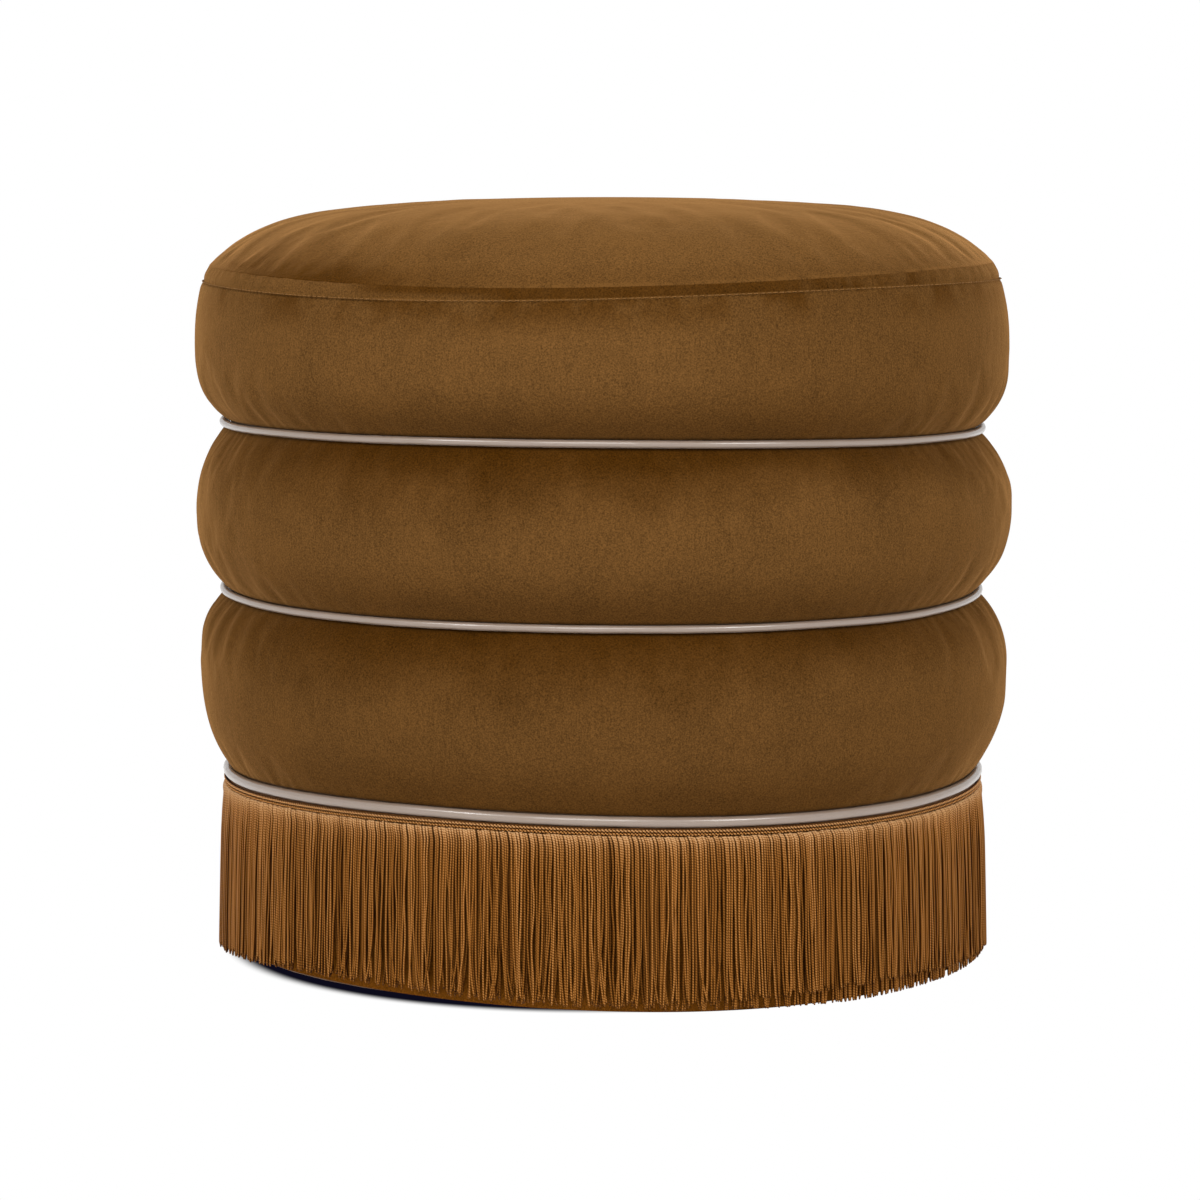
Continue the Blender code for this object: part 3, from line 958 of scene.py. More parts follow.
# %% The thread's finish
thread_sheen = (1.0, 0.55, 0.20, 1.0)
# The yarns' colours: painted shade between the strands, their own, and a painted highlight.
yarn_colours_with_shade_and_highlight = ((0.02, 0.003, 0.0002, 1.0), (0.47, 0.165, 0.012, 1.0), (0.57, 0.35, 0.175, 1.0))
rib_floor, rib_share = 0.40, 0.80
fuzz_size, fuzz_floor, fuzz_share = 0.0005, 0.88, 0.24
front_focus = 1.6
bend_length = 0.005
bend_flank, bend_light, bend_pale = 0.35, 0.5, 0.50
bright_sides, side_light = (0.10, 0.225), 0.17
tips_reach = (0.003, 0.013)
ply_shade_start, ply_shade_end = 0.0004, 0.00115
ply_shade_floor = 0.10
pale_power, pale_share = 3, 0.4
random_turns = 7


def thread_finish(
    name, level, pitch, depth, colours=yarn_colours_with_shade_and_highlight, vary=0.12, flank=0.12, pale=0.0, bent=False,
    cord_radius=None, lit_tips=0.0,
):
    """Twisted thread: ribs that wind round it, painted shade in the ribs' creases and on the flanks
    where it meets its neighbours, and a tone of its own for each strand. The colours are the painted
    shade between the strands, the yarn's own, and a pale one for the painted highlight on the
    brightest places. A yarn that hangs is bent at its top, where it gets painted light and more
    painted highlight, and it is painted brighter at the ottoman's sides; lit tips get painted light
    as from the floor, and a cord gets painted shade where its plies dive behind its own radius."""
    finish = Finish(
        name, 0.5, sheen_weight=0.05, sheen_roughness=0.35, sheen_tint=thread_sheen,
        specular_ior_level=0.06,
    )
    turns, along = finish.map_spot("thread")
    low, full, light = colours
    strand = (turns / 2).whole()
    chance = finish.add("TexWhiteNoise", {"noise_dimensions": "1D"}, {"W": strand})
    # Painted shade: the ribs are darker in their creases.
    rib = ((along * (1 / pitch) + turns + chance * random_turns) * full_turn).sine() * 0.5 + 0.5
    fuzz = finish.noise(fuzz_size, detail=1)
    # Painted shade: each tube is darkest on its flanks, where it meets its neighbours, and brightest on
    # its front.
    front = ((turns - quarter) * full_turn).sine().clamped() ** front_focus
    own = 1 - vary + chance * (2 * vary)
    tone = (rib_floor + rib * rib_share) * own * (fuzz_floor + fuzz * fuzz_share)
    # Painted light and a painted highlight at the bend at a yarn's top.
    if bent:
        bend = (along * (-1 / bend_length)).exponential()
        flank = bend * bend_flank + flank
        level = (1 + bend * bend_light) * level
        pale = bend * bend_pale
    tone = tone * (front + flank) * level
    # Painted light: hanging yarns are brighter towards the ottoman's sides.
    if bent:
        tone = tone * (1 + abs(finish.x).rise(*bright_sides) * side_light)
    # Painted light on the tips, as from the floor.
    if lit_tips:
        tone = tone * (1 + finish.z.fall(*tips_reach) * lit_tips)
    # Painted shade on the plies' parts that lie behind the cord's middle.
    if cord_radius:
        reach = (finish.x * finish.x + finish.y * finish.y) ** 0.5
        tone = tone * (reach.rise(cord_radius + ply_shade_start, cord_radius + ply_shade_end) + ply_shade_floor)
    tone = tone.clamped()
    # Painted highlight: the brightest places go towards the pale colour.
    pale_highlight = tone ** pale_power * pale_share + tone * pale
    finish.colour(pale_highlight, finish.mix(tone, low, full), light)
    finish.bump(rib + fuzz * 0.3, depth)
    return finish.material


print("thread colours:", [colour[:3] for colour in yarn_colours_with_shade_and_highlight])

# %% The stitches
thread_radius = 0.00034
stitch_share = 0.74
stitch_band = 0.0012
# The stitches' colours: painted shade, the thread's own, and a painted highlight.
stitch_colours_with_shade_and_highlight = ((0.02, 0.008, 0.001, 1.0), (0.27, 0.122, 0.030, 1.0), (0.38, 0.20, 0.07, 1.0))


def stitching():
    """Short arched tubes along the valley, with their ends below the pile."""
    steps = np.linspace(-0.5, 0.5, 7)
    middle_turns = angles_of(stitch_count, start=full_turn / stitch_count / 2)[:, None]
    turn = middle_turns + steps * stitch_share * full_turn / stitch_count
    surface = places(upper_cover)
    outer = np.hypot(surface[:, 0], surface[:, 1])
    level = stitch_level + rise("stitch", turn)
    own_turn = angle_of(surface)
    picked = np.abs(surface[:, 2] - stitch_level - rise("stitch", own_turn)) < stitch_band
    own_turn = own_turn[picked] % full_turn
    order = np.argsort(own_turn)
    floor = np.interp(turn % full_turn, own_turn[order], outer[picked][order], period=full_turn)
    arch = thread_radius * (1.5 - 9 * steps**2)
    lines = around(floor + arch, turn, level)
    across = upwards(lines)
    finish = thread_finish("stitching_thread", 0.95, 0.0008, 0.0001, stitch_colours_with_shade_and_highlight)
    sizes = thread_radius * np.sqrt(np.clip(1.05 - (2 * steps) ** 6, 0.1, 1))
    piece = tubes(
        "top_stitching", lines, across, around(1.0, turn, 0.0), sizes, sizes, 8, finish
    )
    length = full_turn * outer[picked].mean() / stitch_count * stitch_share
    print("stitches:", stitch_count, "each", round(length * 1000, 2), "mm")
    return piece


stitching()

# %% [markdown]
# ## The crowned seat
# The seat is a round velvet panel over a domed pad, and its edge rolls under where it is sewn. A
# disc made of rings has long thin faces at its middle, where a cloth solver does badly. So the
# panel is a square grid whose rings of squares are pushed out to circles, with rings of its own
# for the rolled edge.

# %% The crown's section
crown_bow_share = 0.29
crown_fullness = 7.8
crown_tilt = 0.0005
crown_squares = columns // 8


def crown_height(reach):
    """The crown's level where the reach is 0 in the middle and 1 at the seam."""
    drop = crown_bow_share * reach**2 + (1 - crown_bow_share) * reach**crown_fullness
    return seam_level + (crown_level - seam_level) * (1 - drop)


def reach_of(points):
    """How far out each point lies: 0 at the axis and 1 at the seam."""
    return np.hypot(points[:, 0], points[:, 1]) / seam_radius


def dome_rise(points):
    """How far the seat's dome follows the sway of its seam: hardly in the middle, fully at the seam."""
    turn = angle_of(points)
    reach = np.minimum(reach_of(points), 1)
    inside = crown_tilt * reach * np.cos(turn)
    return inside + (rise("seam", turn) - crown_tilt * np.cos(turn)) * reach**9


print("crown:", round((crown_level - seam_level) * 1000, 1), "mm above its seam")

# %% The crown's grid of squares, pushed out to circles
inner_reach = 0.93
edge_reaches = np.array([0.945, 0.96, 0.972, 0.982, 0.99, 0.996, 1.0])
roll_under_out = np.array([0.0003, 0.0, -0.0008, -0.0022])
roll_under_down = np.array([-0.0004, -0.0009, -0.0011, -0.0011])


def square_disc():
    """The ring number and the angle of each point of a square grid whose rings become circles."""
    steps = np.arange(2 * crown_squares + 1) - crown_squares
    across, along = np.meshgrid(steps, steps)
    ring = np.maximum(np.abs(across), np.abs(along))
    wide = np.abs(across) >= np.abs(along)
    with np.errstate(divide="ignore", invalid="ignore"):
        turn = np.where(
            wide,
            np.where(across > 0, 0, math.pi) + math.pi / 4 * along / across,
            np.where(along > 0, math.pi / 2, -math.pi / 2) - math.pi / 4 * across / along,
        )
    return ring, np.where(ring == 0, 0.0, turn)


def crown_grid():
    """The points and faces of the crown's panel, and the number of the ring that each is on."""
    ring, turn = square_disc()
    side = len(ring)
    reach = ring / crown_squares * inner_reach
    disc = around(seam_radius * reach, turn, crown_height(reach)).reshape(-1, 3)
    faces = grid_faces(side, side, round_columns=False).tolist()
    number = np.arange(side * side).reshape(side, side)
    rim = np.concatenate([number[0, :-1], number[:-1, -1], number[-1, :0:-1], number[:0:-1, 0]])
    radius = np.concatenate([seam_radius * edge_reaches, seam_radius + roll_under_out])
    level = np.concatenate([crown_height(edge_reaches), seam_level + roll_under_down])
    edge = around(radius[:, None], turn.ravel()[rim], level[:, None])
    edge_numbers = side * side + np.arange(edge.shape[0] * len(rim)).reshape(edge.shape[0], -1)
    rings = np.concatenate([rim[None], edge_numbers])
    inside, outside = rings[:-1], rings[1:]
    quads = np.stack([inside, outside, np.roll(outside, -1, 1), np.roll(inside, -1, 1)], -1)
    faces += quads.reshape(-1, 4).tolist()
    edge_rings = np.repeat(np.arange(len(radius)) + crown_squares + 1, len(rim))
    points = np.concatenate([disc, edge.reshape(-1, 3)])
    return points, faces, np.concatenate([ring.ravel(), edge_rings])


print("crown grid:", 2 * crown_squares, "squares a side and", len(edge_reaches) + 4, "edge rings")

# %% The crown's panel
crown_swell = 0.0004
held_reach = 0.985


def crown_panel():
    """The seat's velvet, from its middle to the edge that rolls under at the seam."""
    points, faces, rings = crown_grid()
    points[:, 2] += dome_rise(points)
    points[:, 0] += sideways["seam"] * np.minimum(reach_of(points), 1) ** 4
    finish = velvet_finish("velvet_crown", crown=True, sheen=0.62, spread=0.34)
    piece = add_piece("velvet_crown", points, faces, finish, ["top_panel"])
    settle(piece, reach_of(points - [sideways["seam"], 0, 0]) > held_reach, rings, cover_cap)
    surface = places(piece)
    turn = angle_of(surface)
    reach = reach_of(surface - [sideways["seam"], 0, 0])
    swell = crown_swell * reach**2 * np.clip(4 * (1 - reach), 0, 1)
    surface[:, 2] += swell * wander(turn + 1.5 * reach, (2, 7), 41)
    place(piece, surface)
    inward = seam_radius * (1 - reach)
    map_points(piece, "rings", np.stack([inward, inward], -1))
    thicken(piece)
    return piece


crown = crown_panel()
print("crown panel:", len(crown.data.polygons), "faces")

# %% [markdown]
# ## Leather piping
# Piping is a strip of leather folded over a cord, and only the round part shows. It could be a
# plain ring, but a real one ends somewhere: at the back, where its two ends meet at a fine gap. So
# each piping is one open tube that goes once round, a little narrower where the filler is thin.

# %% The leather and the three pipings
leather_colours = ((0.322, 0.238, 0.174, 1.0), (0.300, 0.226, 0.182, 1.0))
pores_per_metre, pore_edge, pore_depth = 1500.0, 0.12, 0.00006


def leather_finish():
    """Fine-grained taupe leather with a soft shine."""
    finish = Finish("piping_leather", 0.36, coat_weight=1.0, coat_roughness=0.22, coat_ior=1.7)
    pores = finish.cells(pores_per_metre, "DISTANCE_TO_EDGE").rise(0.0, pore_edge)
    blotch = finish.noise(0.02, detail=3)
    tone = (0.90 + blotch * 0.14) * (0.93 + pores * 0.07)
    finish.colour(tone, black, finish.mix(blotch, *leather_colours))
    finish.feed("Roughness", 0.30 + blotch * 0.14)
    finish.bump(pores + finish.noise(0.0006, detail=2) * 0.5, pore_depth)
    return finish.material


flange_half = 0.0005
flange_overlap = 0.001
piping_gap = 0.0005
piping_waver = 0.00012


def piping(name, wire, seed, finish):
    """One piping, from its end at the back round to its other end, and the flange that holds it."""
    stops, sides = 720, 20
    gap = piping_gap / piping_radius
    turn = (math.pi / 2 + np.linspace(gap / 2, full_turn - gap / 2, stops))[None]
    cord = wire / 2 * (1 + 0.012 * wander(turn, (20, 90), seed))
    centre = piping_radius - wire / 2 + piping_waver * wander(turn, (5, 30), seed + 1)
    centre = centre + sideways[name] * np.cos(turn)
    level = piping_levels[name] + rise(name, turn)
    level = level + piping_waver * wander(turn, (4, 14), seed + 2)
    lines = around(centre, turn, level)
    ends = np.minimum(1, 0.75 + 0.25 * np.minimum(np.arange(stops), np.arange(stops)[::-1]))
    piece = tubes(
        "leather_piping_" + name, lines, upwards(lines), around(1.0, turn, 0.0),
        cord * ends, cord * ends, sides, finish,
    )
    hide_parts("piping_" + name)
    middle_level = piping_levels[name]
    square_ring(
        "piping_flange_" + name, barrel_radius + clearance, piping_radius - wire + flange_overlap,
        middle_level - flange_half, middle_level + flange_half, name, 360, finish,
    )
    return piece


leather = leather_finish()
piping("lower", stout_piping, 51, leather)
piping("middle", slim_piping, 54, leather)
piping("upper", slim_piping, 57, leather)
print("pipings:", stout_piping * 1000, slim_piping * 1000, slim_piping * 1000, "mm thick")

# %% [markdown]
# ## The fringe's header
# A bullion fringe hangs from a woven tape. On its face lie two twisted cords, the lower one darker,
# and the yarns come out below. Both cords are painted brighter than the yarns, the upper one the
# most, as painted light against the piping's shade, with a painted highlight. A flat ring with a
# picture of a cord would show no light and shade, so each ply is modelled as a tube that winds
# round the cord's middle once every few millimetres, and its finish has painted shade where it
# dives in behind the other ply.

# %% The tape and its two cords
header_height = 0.007
tape_thickness = 0.0014
tape_drop = 0.0002
cord_pitch = 0.0042
cord_steps = 10
ply_radius = 0.00060
wind_radius = 0.00056


def twisted_cord(name, drop, centre_radius, finish):
    """A cord of two plies that wind round its middle all the way round the ottoman."""
    turns = int(full_turn * centre_radius / cord_pitch)
    stops = turns * cord_steps
    turn = angles_of(stops)[None]
    twist = turns * turn + np.array([[0.0], [math.pi]])
    radius = centre_radius + wind_radius * np.cos(twist)
    level = header_top - drop + rise("lower", turn) - wind_radius * np.sin(twist)
    lines = around(radius, turn, level)
    forward = np.roll(lines, -1, 1) - np.roll(lines, 1, 1)
    forward = unit(forward)
    outward = unit(np.cross(forward, upwards(lines)))
    return tubes(
        name, lines, np.cross(outward, forward), outward, ply_radius, ply_radius, 6, finish,
        closed=True,
    )


def tape(finish):
    """The woven tape behind the cords."""
    return square_ring(
        "fringe_tape", plinth_radius + clearance, plinth_radius + tape_thickness,
        header_top - header_height, header_top - tape_drop, "lower", 480, finish,
    )


def tape_finish():
    """A plain weave of fine yarn."""
    finish = Finish("fringe_tape", 0.7, sheen_weight=0.2)
    weave = (finish.z * (full_turn / 0.0009)).sine() * 0.5 + 0.5
    fuzz = finish.noise(0.0008, detail=2)
    # Painted shade: the tape's tone runs from the yarns' shade colour towards their own, so it is darker
    # than the yarns behind the cords.
    tone = 0.35 + weave * 0.25 + fuzz * 0.25
    finish.colour(tone, *yarn_colours_with_shade_and_highlight[:2])
    finish.bump(weave + fuzz, 0.0001)
    return finish.material


upper_cord_radius = plinth_radius + 0.0032
lower_cord_radius = plinth_radius + 0.0029
cord_look = {"pitch": 0.0012, "depth": 0.0001, "flank": 0.16}
# The cords' levels, above the yarns', are painted light against the piping's shade, the upper cord's the
# most; their pale share is a painted highlight.
bright_finish = thread_finish(
    "header_cord_upper", 1.34, pale=0.24, cord_radius=upper_cord_radius, **cord_look
)
dark_finish = thread_finish(
    "header_cord_lower", 1.0, pale=0.06, cord_radius=lower_cord_radius, **cord_look
)
header_tape = tape(tape_finish())
upper_cord = twisted_cord("header_cord_upper", 0.0014, upper_cord_radius, bright_finish)
lower_cord = twisted_cord("header_cord_lower", 0.0034, lower_cord_radius, dark_finish)
print("the fringe hangs from", round(header_top, 4), "to", round(tip_level, 4), "m")
print("the fringe's solid stands off the plinth by", round(widest("fringe") - plinth_radius, 4), "m")

# %% [markdown]
# ## The fringe's yarns
# The fringe is about 1,750 soft twisted yarns in two layers. Each one swells out just under the
# header, hangs with slight waves, drifts sideways near its tip and ends rounded, a little higher
# or lower than the next. Hair particles could stand for them, but they have no real surface and
# vanish in an export. Here every yarn is a tube in a mesh, drawn from a seeded generator, so the
# same fringe comes out each time.

# %% The yarns' sizes, in metres
yarn_pitch = 0.00165
yarn_width = 0.00136
yarn_depth = 0.0014
yarn_start = 0.0046
yarn_points = 30
yarn_sides = 7
outer_stand_off = 0.0030
layer_gap = 0.0016
layer_drop = 0.0006
swell_depth = 0.0019
swell_length = 0.012
spread_share = 0.027
inner_longer = 0.0085
inner_wider = 1.12
ragged_ends = 0.0046
lowest_tip = 0.0004
root_scatter, top_scatter = 0.26, 0.0003
tip_width, tip_rounding = 0.55, 30
width_scatter = (0.88, 1.12)
thick_vary, thick_shares, thick_waves = 0.08, (0.2, 1), 3.1
print("a yarn is", yarn_width * 1000, "by", yarn_depth * 1000, "mm")

# %% How far a yarn strays from a straight line, in metres
yarn_lean = 0.0018
lean_length = 0.003
wave_shares, wave_counts = (0.05, 0.40), (0.6, 2.4)
low_drift, tip_drift = 0.0007, 0.0015
drift_vary, drift_waves = 0.6, (2, 6)
low_clump, tip_clump = 0.0005, 0.0010
low_clump_waves, tip_clump_waves = (90, 240), (50, 140)
scatter_size = 0.0004
puff_size, puff_drop, puff_height = 0.0009, 0.003, 0.0026
flare_share, flare_length = 0.40, 0.006
print("a yarn's tip drifts by about", tip_drift * 1000, "mm")

# %% The level of each point of a yarn
def fading(hang, length):
    """1 at the header's edge, dying away over this length below it."""
    return np.exp(-np.maximum(hang, 0) / length)


def yarn_levels(chance, root, layer):
    """How far down its yarn each point is, from 0 to 1, and its level. Points lie closer at both
    ends, and the inner yarns are longer and even at the right side."""
    steps = np.linspace(0, 1, yarn_points)[None]
    down = steps - 0.6 * np.sin(full_turn * steps) / full_turn
    top = header_top - yarn_start - layer_drop * layer
    top = top + chance.uniform(-top_scatter, top_scatter, root.shape)
    right_side = np.clip(1.6 * np.cos(root), 0, 1)
    ragged = ragged_ends * (1 - 0.5 * np.clip(np.cos(root), 0, 1)) * (1 - 0.9 * layer * right_side)
    tip = tip_level + 0.0002 + ragged * chance.random(root.shape) ** 1.5
    top = top + rise("lower", root)
    tip = tip + rise("tips", root) - inner_longer * layer * right_side
    tip = np.maximum(tip, lowest_tip)
    return down, top + (tip - top) * down


yarn_length = header_top - yarn_start - tip_level
print("an outer yarn hangs about", round(yarn_length * 1000), "mm down")

# %% The angle of each point of a yarn
def yarn_turns(chance, root, down, hang, seed):
    """The angle at which each point lies, as the yarn waves, drifts and bunches with its
    neighbours, and the phase of its waves."""
    wave_size = chance.uniform(*wave_shares, root.shape) * yarn_width
    waves = chance.uniform(*wave_counts, root.shape)
    phase = chance.uniform(0, full_turn, root.shape)
    sway = wave_size * np.sin(full_turn * waves * down + phase) * np.minimum(1, 4 * down)
    restless = 1 + drift_vary * wander(root, drift_waves, seed + 4)
    drift = low_drift * restless * chance.normal(0, 1, root.shape) * down**1.8
    drift = drift + tip_drift * restless * chance.normal(0, 1, root.shape) * down**7
    clump = low_clump * wander(root, low_clump_waves, seed + 5) * down**0.6
    clump = clump + tip_clump * wander(root, tip_clump_waves, seed + 6) * down**4
    lean = -yarn_lean * fading(hang, lean_length)
    return root + (sway + drift + clump + lean) / plinth_radius, phase


print("a yarn leans", yarn_lean * 1000, "mm as it leaves the header")

# %% The yarns
def yarns(name, layer, share, seed, finish):
    """The yarns of one layer over a share of the turn, from a start to an end angle. Layer 0 is
    the outer one and 1 the inner."""
    chance = np.random.default_rng(seed)
    start, end = share
    count = int(round((end - start) * plinth_radius / yarn_pitch))
    one_each = (count, 1)
    step = (end - start) / count
    root = start + step * (np.arange(count) + 0.5 * layer)[:, None]
    root = root + step * chance.uniform(-root_scatter, root_scatter, one_each)
    down, level = yarn_levels(chance, root, layer)
    hang = header_top - yarn_start + rise("lower", root) - level
    turn, phase = yarn_turns(chance, root, down, hang, seed)
    curve = swell_depth * (1 - fading(hang, swell_length)) + spread_share * hang
    scatter = scatter_size * chance.normal(0, 1, one_each) * np.minimum(1, 3 * down)
    puff = puff_size * np.exp(-((hang - puff_drop) / puff_height) ** 2) * (1 - layer)
    radius = plinth_radius + outer_stand_off - layer_gap * layer + curve + scatter + puff
    lines = around(radius, turn, level)
    ends = np.minimum(1, tip_width + tip_rounding * (1 - down))
    uneven = thick_vary * np.sin(full_turn * thick_waves * down + phase)
    thick = 1 + uneven * chance.uniform(*thick_shares, one_each)
    thick = thick * chance.uniform(*width_scatter, one_each)
    width = yarn_width / 2 * ends * thick * (1 + flare_share * fading(hang, flare_length))
    width = width * (1 + (inner_wider - 1) * layer)
    piece = tubes(
        name, lines, around(1.0, turn + math.pi / 2, 0.0), around(1.0, turn, 0.0),
        width, yarn_depth / 2 * ends, yarn_sides, finish,
    )
    print(name, "has", count, "yarns")
    return piece


print("yarns lie", yarn_pitch * 1000, "mm apart in a layer")

# %% Both layers, in halves
yarn_look = {"pitch": 0.0015, "depth": 0.00014, "vary": 0.30, "flank": 0.08, "bent": True}
yarn_finish = thread_finish("fringe_yarn", 0.61, **yarn_look)
# The inner layer's lower level is painted shade behind the outer yarns, and its tips get painted light.
inner_finish = thread_finish("fringe_yarn_inner", 0.33, lit_tips=0.7, **yarn_look)
halves = {"front": (-math.pi, 0.0), "back": (0.0, math.pi)}
for number, (half, share) in enumerate(halves.items()):
    yarns("fringe_outer_" + half, 0, share, 61 + number, yarn_finish)
    yarns("fringe_inner_" + half, 1, share, 71 + number, inner_finish)
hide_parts("fringe")

# %% [markdown]
# ## The plinth behind the fringe
# Behind the yarns the plinth is wrapped in the same velvet, which is folded under the base board
# and stapled there. Seen from the front, its folded edge shows as a thin line below the tips.

# %% The plinth's velvet
flap_radius = widest("dust_cover") + clearance
fold_radius = 0.0012
plinth_stops, wall_rows, flap_rows = 480, 12, 8


def plinth_velvet():
    """The strip round the plinth, its rounded fold and the flap under the base board."""
    turn = angles_of(plinth_stops)
    corner = np.linspace(0, math.pi / 2, 5)[1:-1]
    radius = np.concatenate([
        np.full(wall_rows, plinth_radius), plinth_radius - fold_radius * (1 - np.cos(corner)),
        np.linspace(plinth_radius - fold_radius, flap_radius, flap_rows),
    ])
    level = np.concatenate([
        np.linspace(header_top - 0.0004, plinth_bottom + fold_radius, wall_rows),
        plinth_bottom + fold_radius * (1 - np.sin(corner)), np.full(flap_rows, plinth_bottom),
    ])
    share = np.clip((level - plinth_bottom) / (header_top - plinth_bottom), 0, 1)[:, None]
    outer = np.clip((radius - flap_radius) / (plinth_radius - fold_radius - flap_radius), 0, 1)[:, None]
    sag = share * rise("lower", turn) + (1 - share) * outer * rise("fold", turn)
    rows = around(radius[::-1, None], turn, (level[:, None] + sag)[::-1])
    finish = velvet_finish("velvet_plinth", colours=shaded_colours, sheen=0.0)
    faces = grid_faces(len(radius), plinth_stops)
    piece = add_piece("velvet_plinth", rows, faces, finish, ["plinth_cover"])
    thicken(piece)
    return piece


plinth_velvet()

# %% [markdown]
# ## The underside
# Black dust cloth closes the base, held by staples, with plastic glides through it. It is a thin
# bonded cloth with a faint pattern of pressed dots. A flat disc would do from above, but the
# ottoman is also judged from below, so the cloth has its slight quilting between the staples and
# each staple is a bent wire.

# %% The dust cloth and its staples
cloth_radius = widest("dust_cover")
cloth_low, cloth_high = lowest("dust_cover"), highest("dust_cover")
cloth_stops = 240
cloth_sag = 0.00015
cloth_ripple = 0.00007
dots_per_metre = 600.0
staple_count = 36
staple_half = 0.005
staple_leg = 0.003
staple_wire = 0.00035
staple_inset = 0.008


def cambric_finish():
    """Black bonded cloth with small pressed dots."""
    finish = Finish("dust_cloth", 0.85)
    dots = finish.cells(dots_per_metre)
    fibres = finish.noise(0.0008, detail=3)
    tone = 0.6 + dots * 0.5 + fibres * 0.5
    finish.colour(tone, (0.004, 0.004, 0.005, 1.0), (0.022, 0.022, 0.025, 1.0))
    finish.bump(dots + fibres * 0.4, 0.0001)
    return finish.material


def dust_cloth():
    """The round cloth under the base board, with the faintest sag between its staples."""
    turn = angles_of(cloth_stops)
    radius = cloth_radius * np.linspace(0.02, 1, 30)
    near_edge = (radius / cloth_radius)[:, None] ** 6
    sag = cloth_sag * (1 - near_edge)
    ripple = cloth_ripple * near_edge * np.cos(staple_count * turn)
    lower = around(radius[:, None], turn, cloth_low - sag + ripple)
    upper = around(radius[::-1, None], turn, cloth_high - sag[::-1] + ripple[::-1])
    rows = np.concatenate([lower, upper])
    faces = grid_faces(len(rows), cloth_stops).tolist()
    last = (len(rows) - 1) * cloth_stops
    faces += [list(range(cloth_stops)), list(range(last, last + cloth_stops))]
    piece = add_piece("black_dust_cloth", rows, faces, cambric_finish(), ["dust_cover"])
    face_outwards(piece)
    return piece


def metal_finish(name, patch, bright, dull):
    """Bare metal with dull patches of about this size."""
    finish = Finish(name, 0.35, metallic=1.0)
    tarnish = finish.noise(patch, detail=3)
    finish.colour(tarnish, bright, dull)
    finish.feed("Roughness", 0.28 + tarnish * 0.2)
    return finish.material


def staples():
    """Wire staples near the cloth's edge, each with its two legs turned up."""
    wire, leg, knee = staple_wire, staple_leg, 0.0006
    middle_turn = angles_of(staple_count, start=0.05)[:, None]
    beside = np.array([-1.0, -1.0, -0.93, 0.0, 0.93, 1.0, 1.0]) * staple_half
    upward = np.array([leg, knee, 0.0, 0.0, 0.0, knee, leg])
    staple_ring = cloth_radius - staple_inset
    turn = middle_turn + beside / staple_ring
    level = np.broadcast_to(cloth_low - wire - 0.0001 + upward, turn.shape)
    lines = around(staple_ring, turn, level)
    outward = np.broadcast_to(around(1.0, middle_turn, 0.0), lines.shape)
    forward = np.gradient(lines, axis=1)
    across = unit(np.cross(outward, forward))
    steel = metal_finish(
        "staple_steel", 0.004, (0.55, 0.55, 0.56, 1.0), (0.36, 0.35, 0.34, 1.0)
    )
    return tubes(
        "cover_staples", lines, across, outward, wire, wire * 1.4, 6, steel
    )


dust_cloth()
staples()
print("dust cloth:", round(2 * cloth_radius * 1000), "mm across")

# %% [markdown]
# ## Foam under the velvet
# The rolls are half-round strips of firm foam and the seat is a firm pad with a softer domed one on
# top. None of it shows on a finished ottoman, but the parts can be taken apart, so each foam piece
# gets its own closed form, set in from the velvet by the cloth's thickness, and an open-celled
# surface.

# %% The foam pieces
foam_columns = 180
foam_gap = 0.0006
pad_chamfer = 0.003
pad_top_mark = 0.33
hole_radius = 0.004
cells_per_metre = 900.0


def foam_finish(name, colour):
    """Cut foam: pale, matt and full of small open cells."""
    finish = Finish(name, 0.95)
    cells = finish.cells(cells_per_metre)
    patch = finish.noise(0.05, detail=2)
    tone = (0.78 + cells * 0.3) * (0.92 + patch * 0.12)
    finish.colour(tone, black, colour)
    finish.bump(cells, 0.0003)
    return finish.material


def turned_foam(name, node, radius, level, finish):
    """A foam piece turned about the axis, from the radii and levels of its rows. A section that
    reaches the axis is closed by a face there."""
    turn = angles_of(foam_columns)
    radius, level = np.broadcast_arrays(radius, level)
    rows = around(radius, turn, level)
    reaches_axis = radius[0, 0] < 0.01
    faces = grid_faces(len(radius), foam_columns, round_rows=not reaches_axis).tolist()
    if reaches_axis:
        last = (len(radius) - 1) * foam_columns
        faces += [list(range(foam_columns)), list(range(last, last + foam_columns))]
    piece = add_piece(name, rows, faces, finish, [node])
    face_outwards(piece)
    return piece


def foam_face(roll, marks):
    """The outer face of the foam under a roll's cover, a safe gap inside the velvet."""
    radius, level = roll_face(roll, marks, angles_of(foam_columns), inset=velvet + foam_gap)
    inside = barrel_radius + 2 * clearance
    return np.maximum(radius - foam_gap, inside) + 0 * level, level


def roll_strip(name, roll, finish):
    """The half-round strip under a roll's cover."""
    marks = np.sin(np.linspace(-math.pi / 2, math.pi / 2, 25))
    radius, level = foam_face(roll, marks)
    back = np.full((1, foam_columns), barrel_radius + clearance)
    radius = np.concatenate([back, radius, back])
    level = np.concatenate([level[:1], level, level[-1:]])
    turned_foam("foam_strip_" + name, "roll_foam_" + name, radius, level, finish)


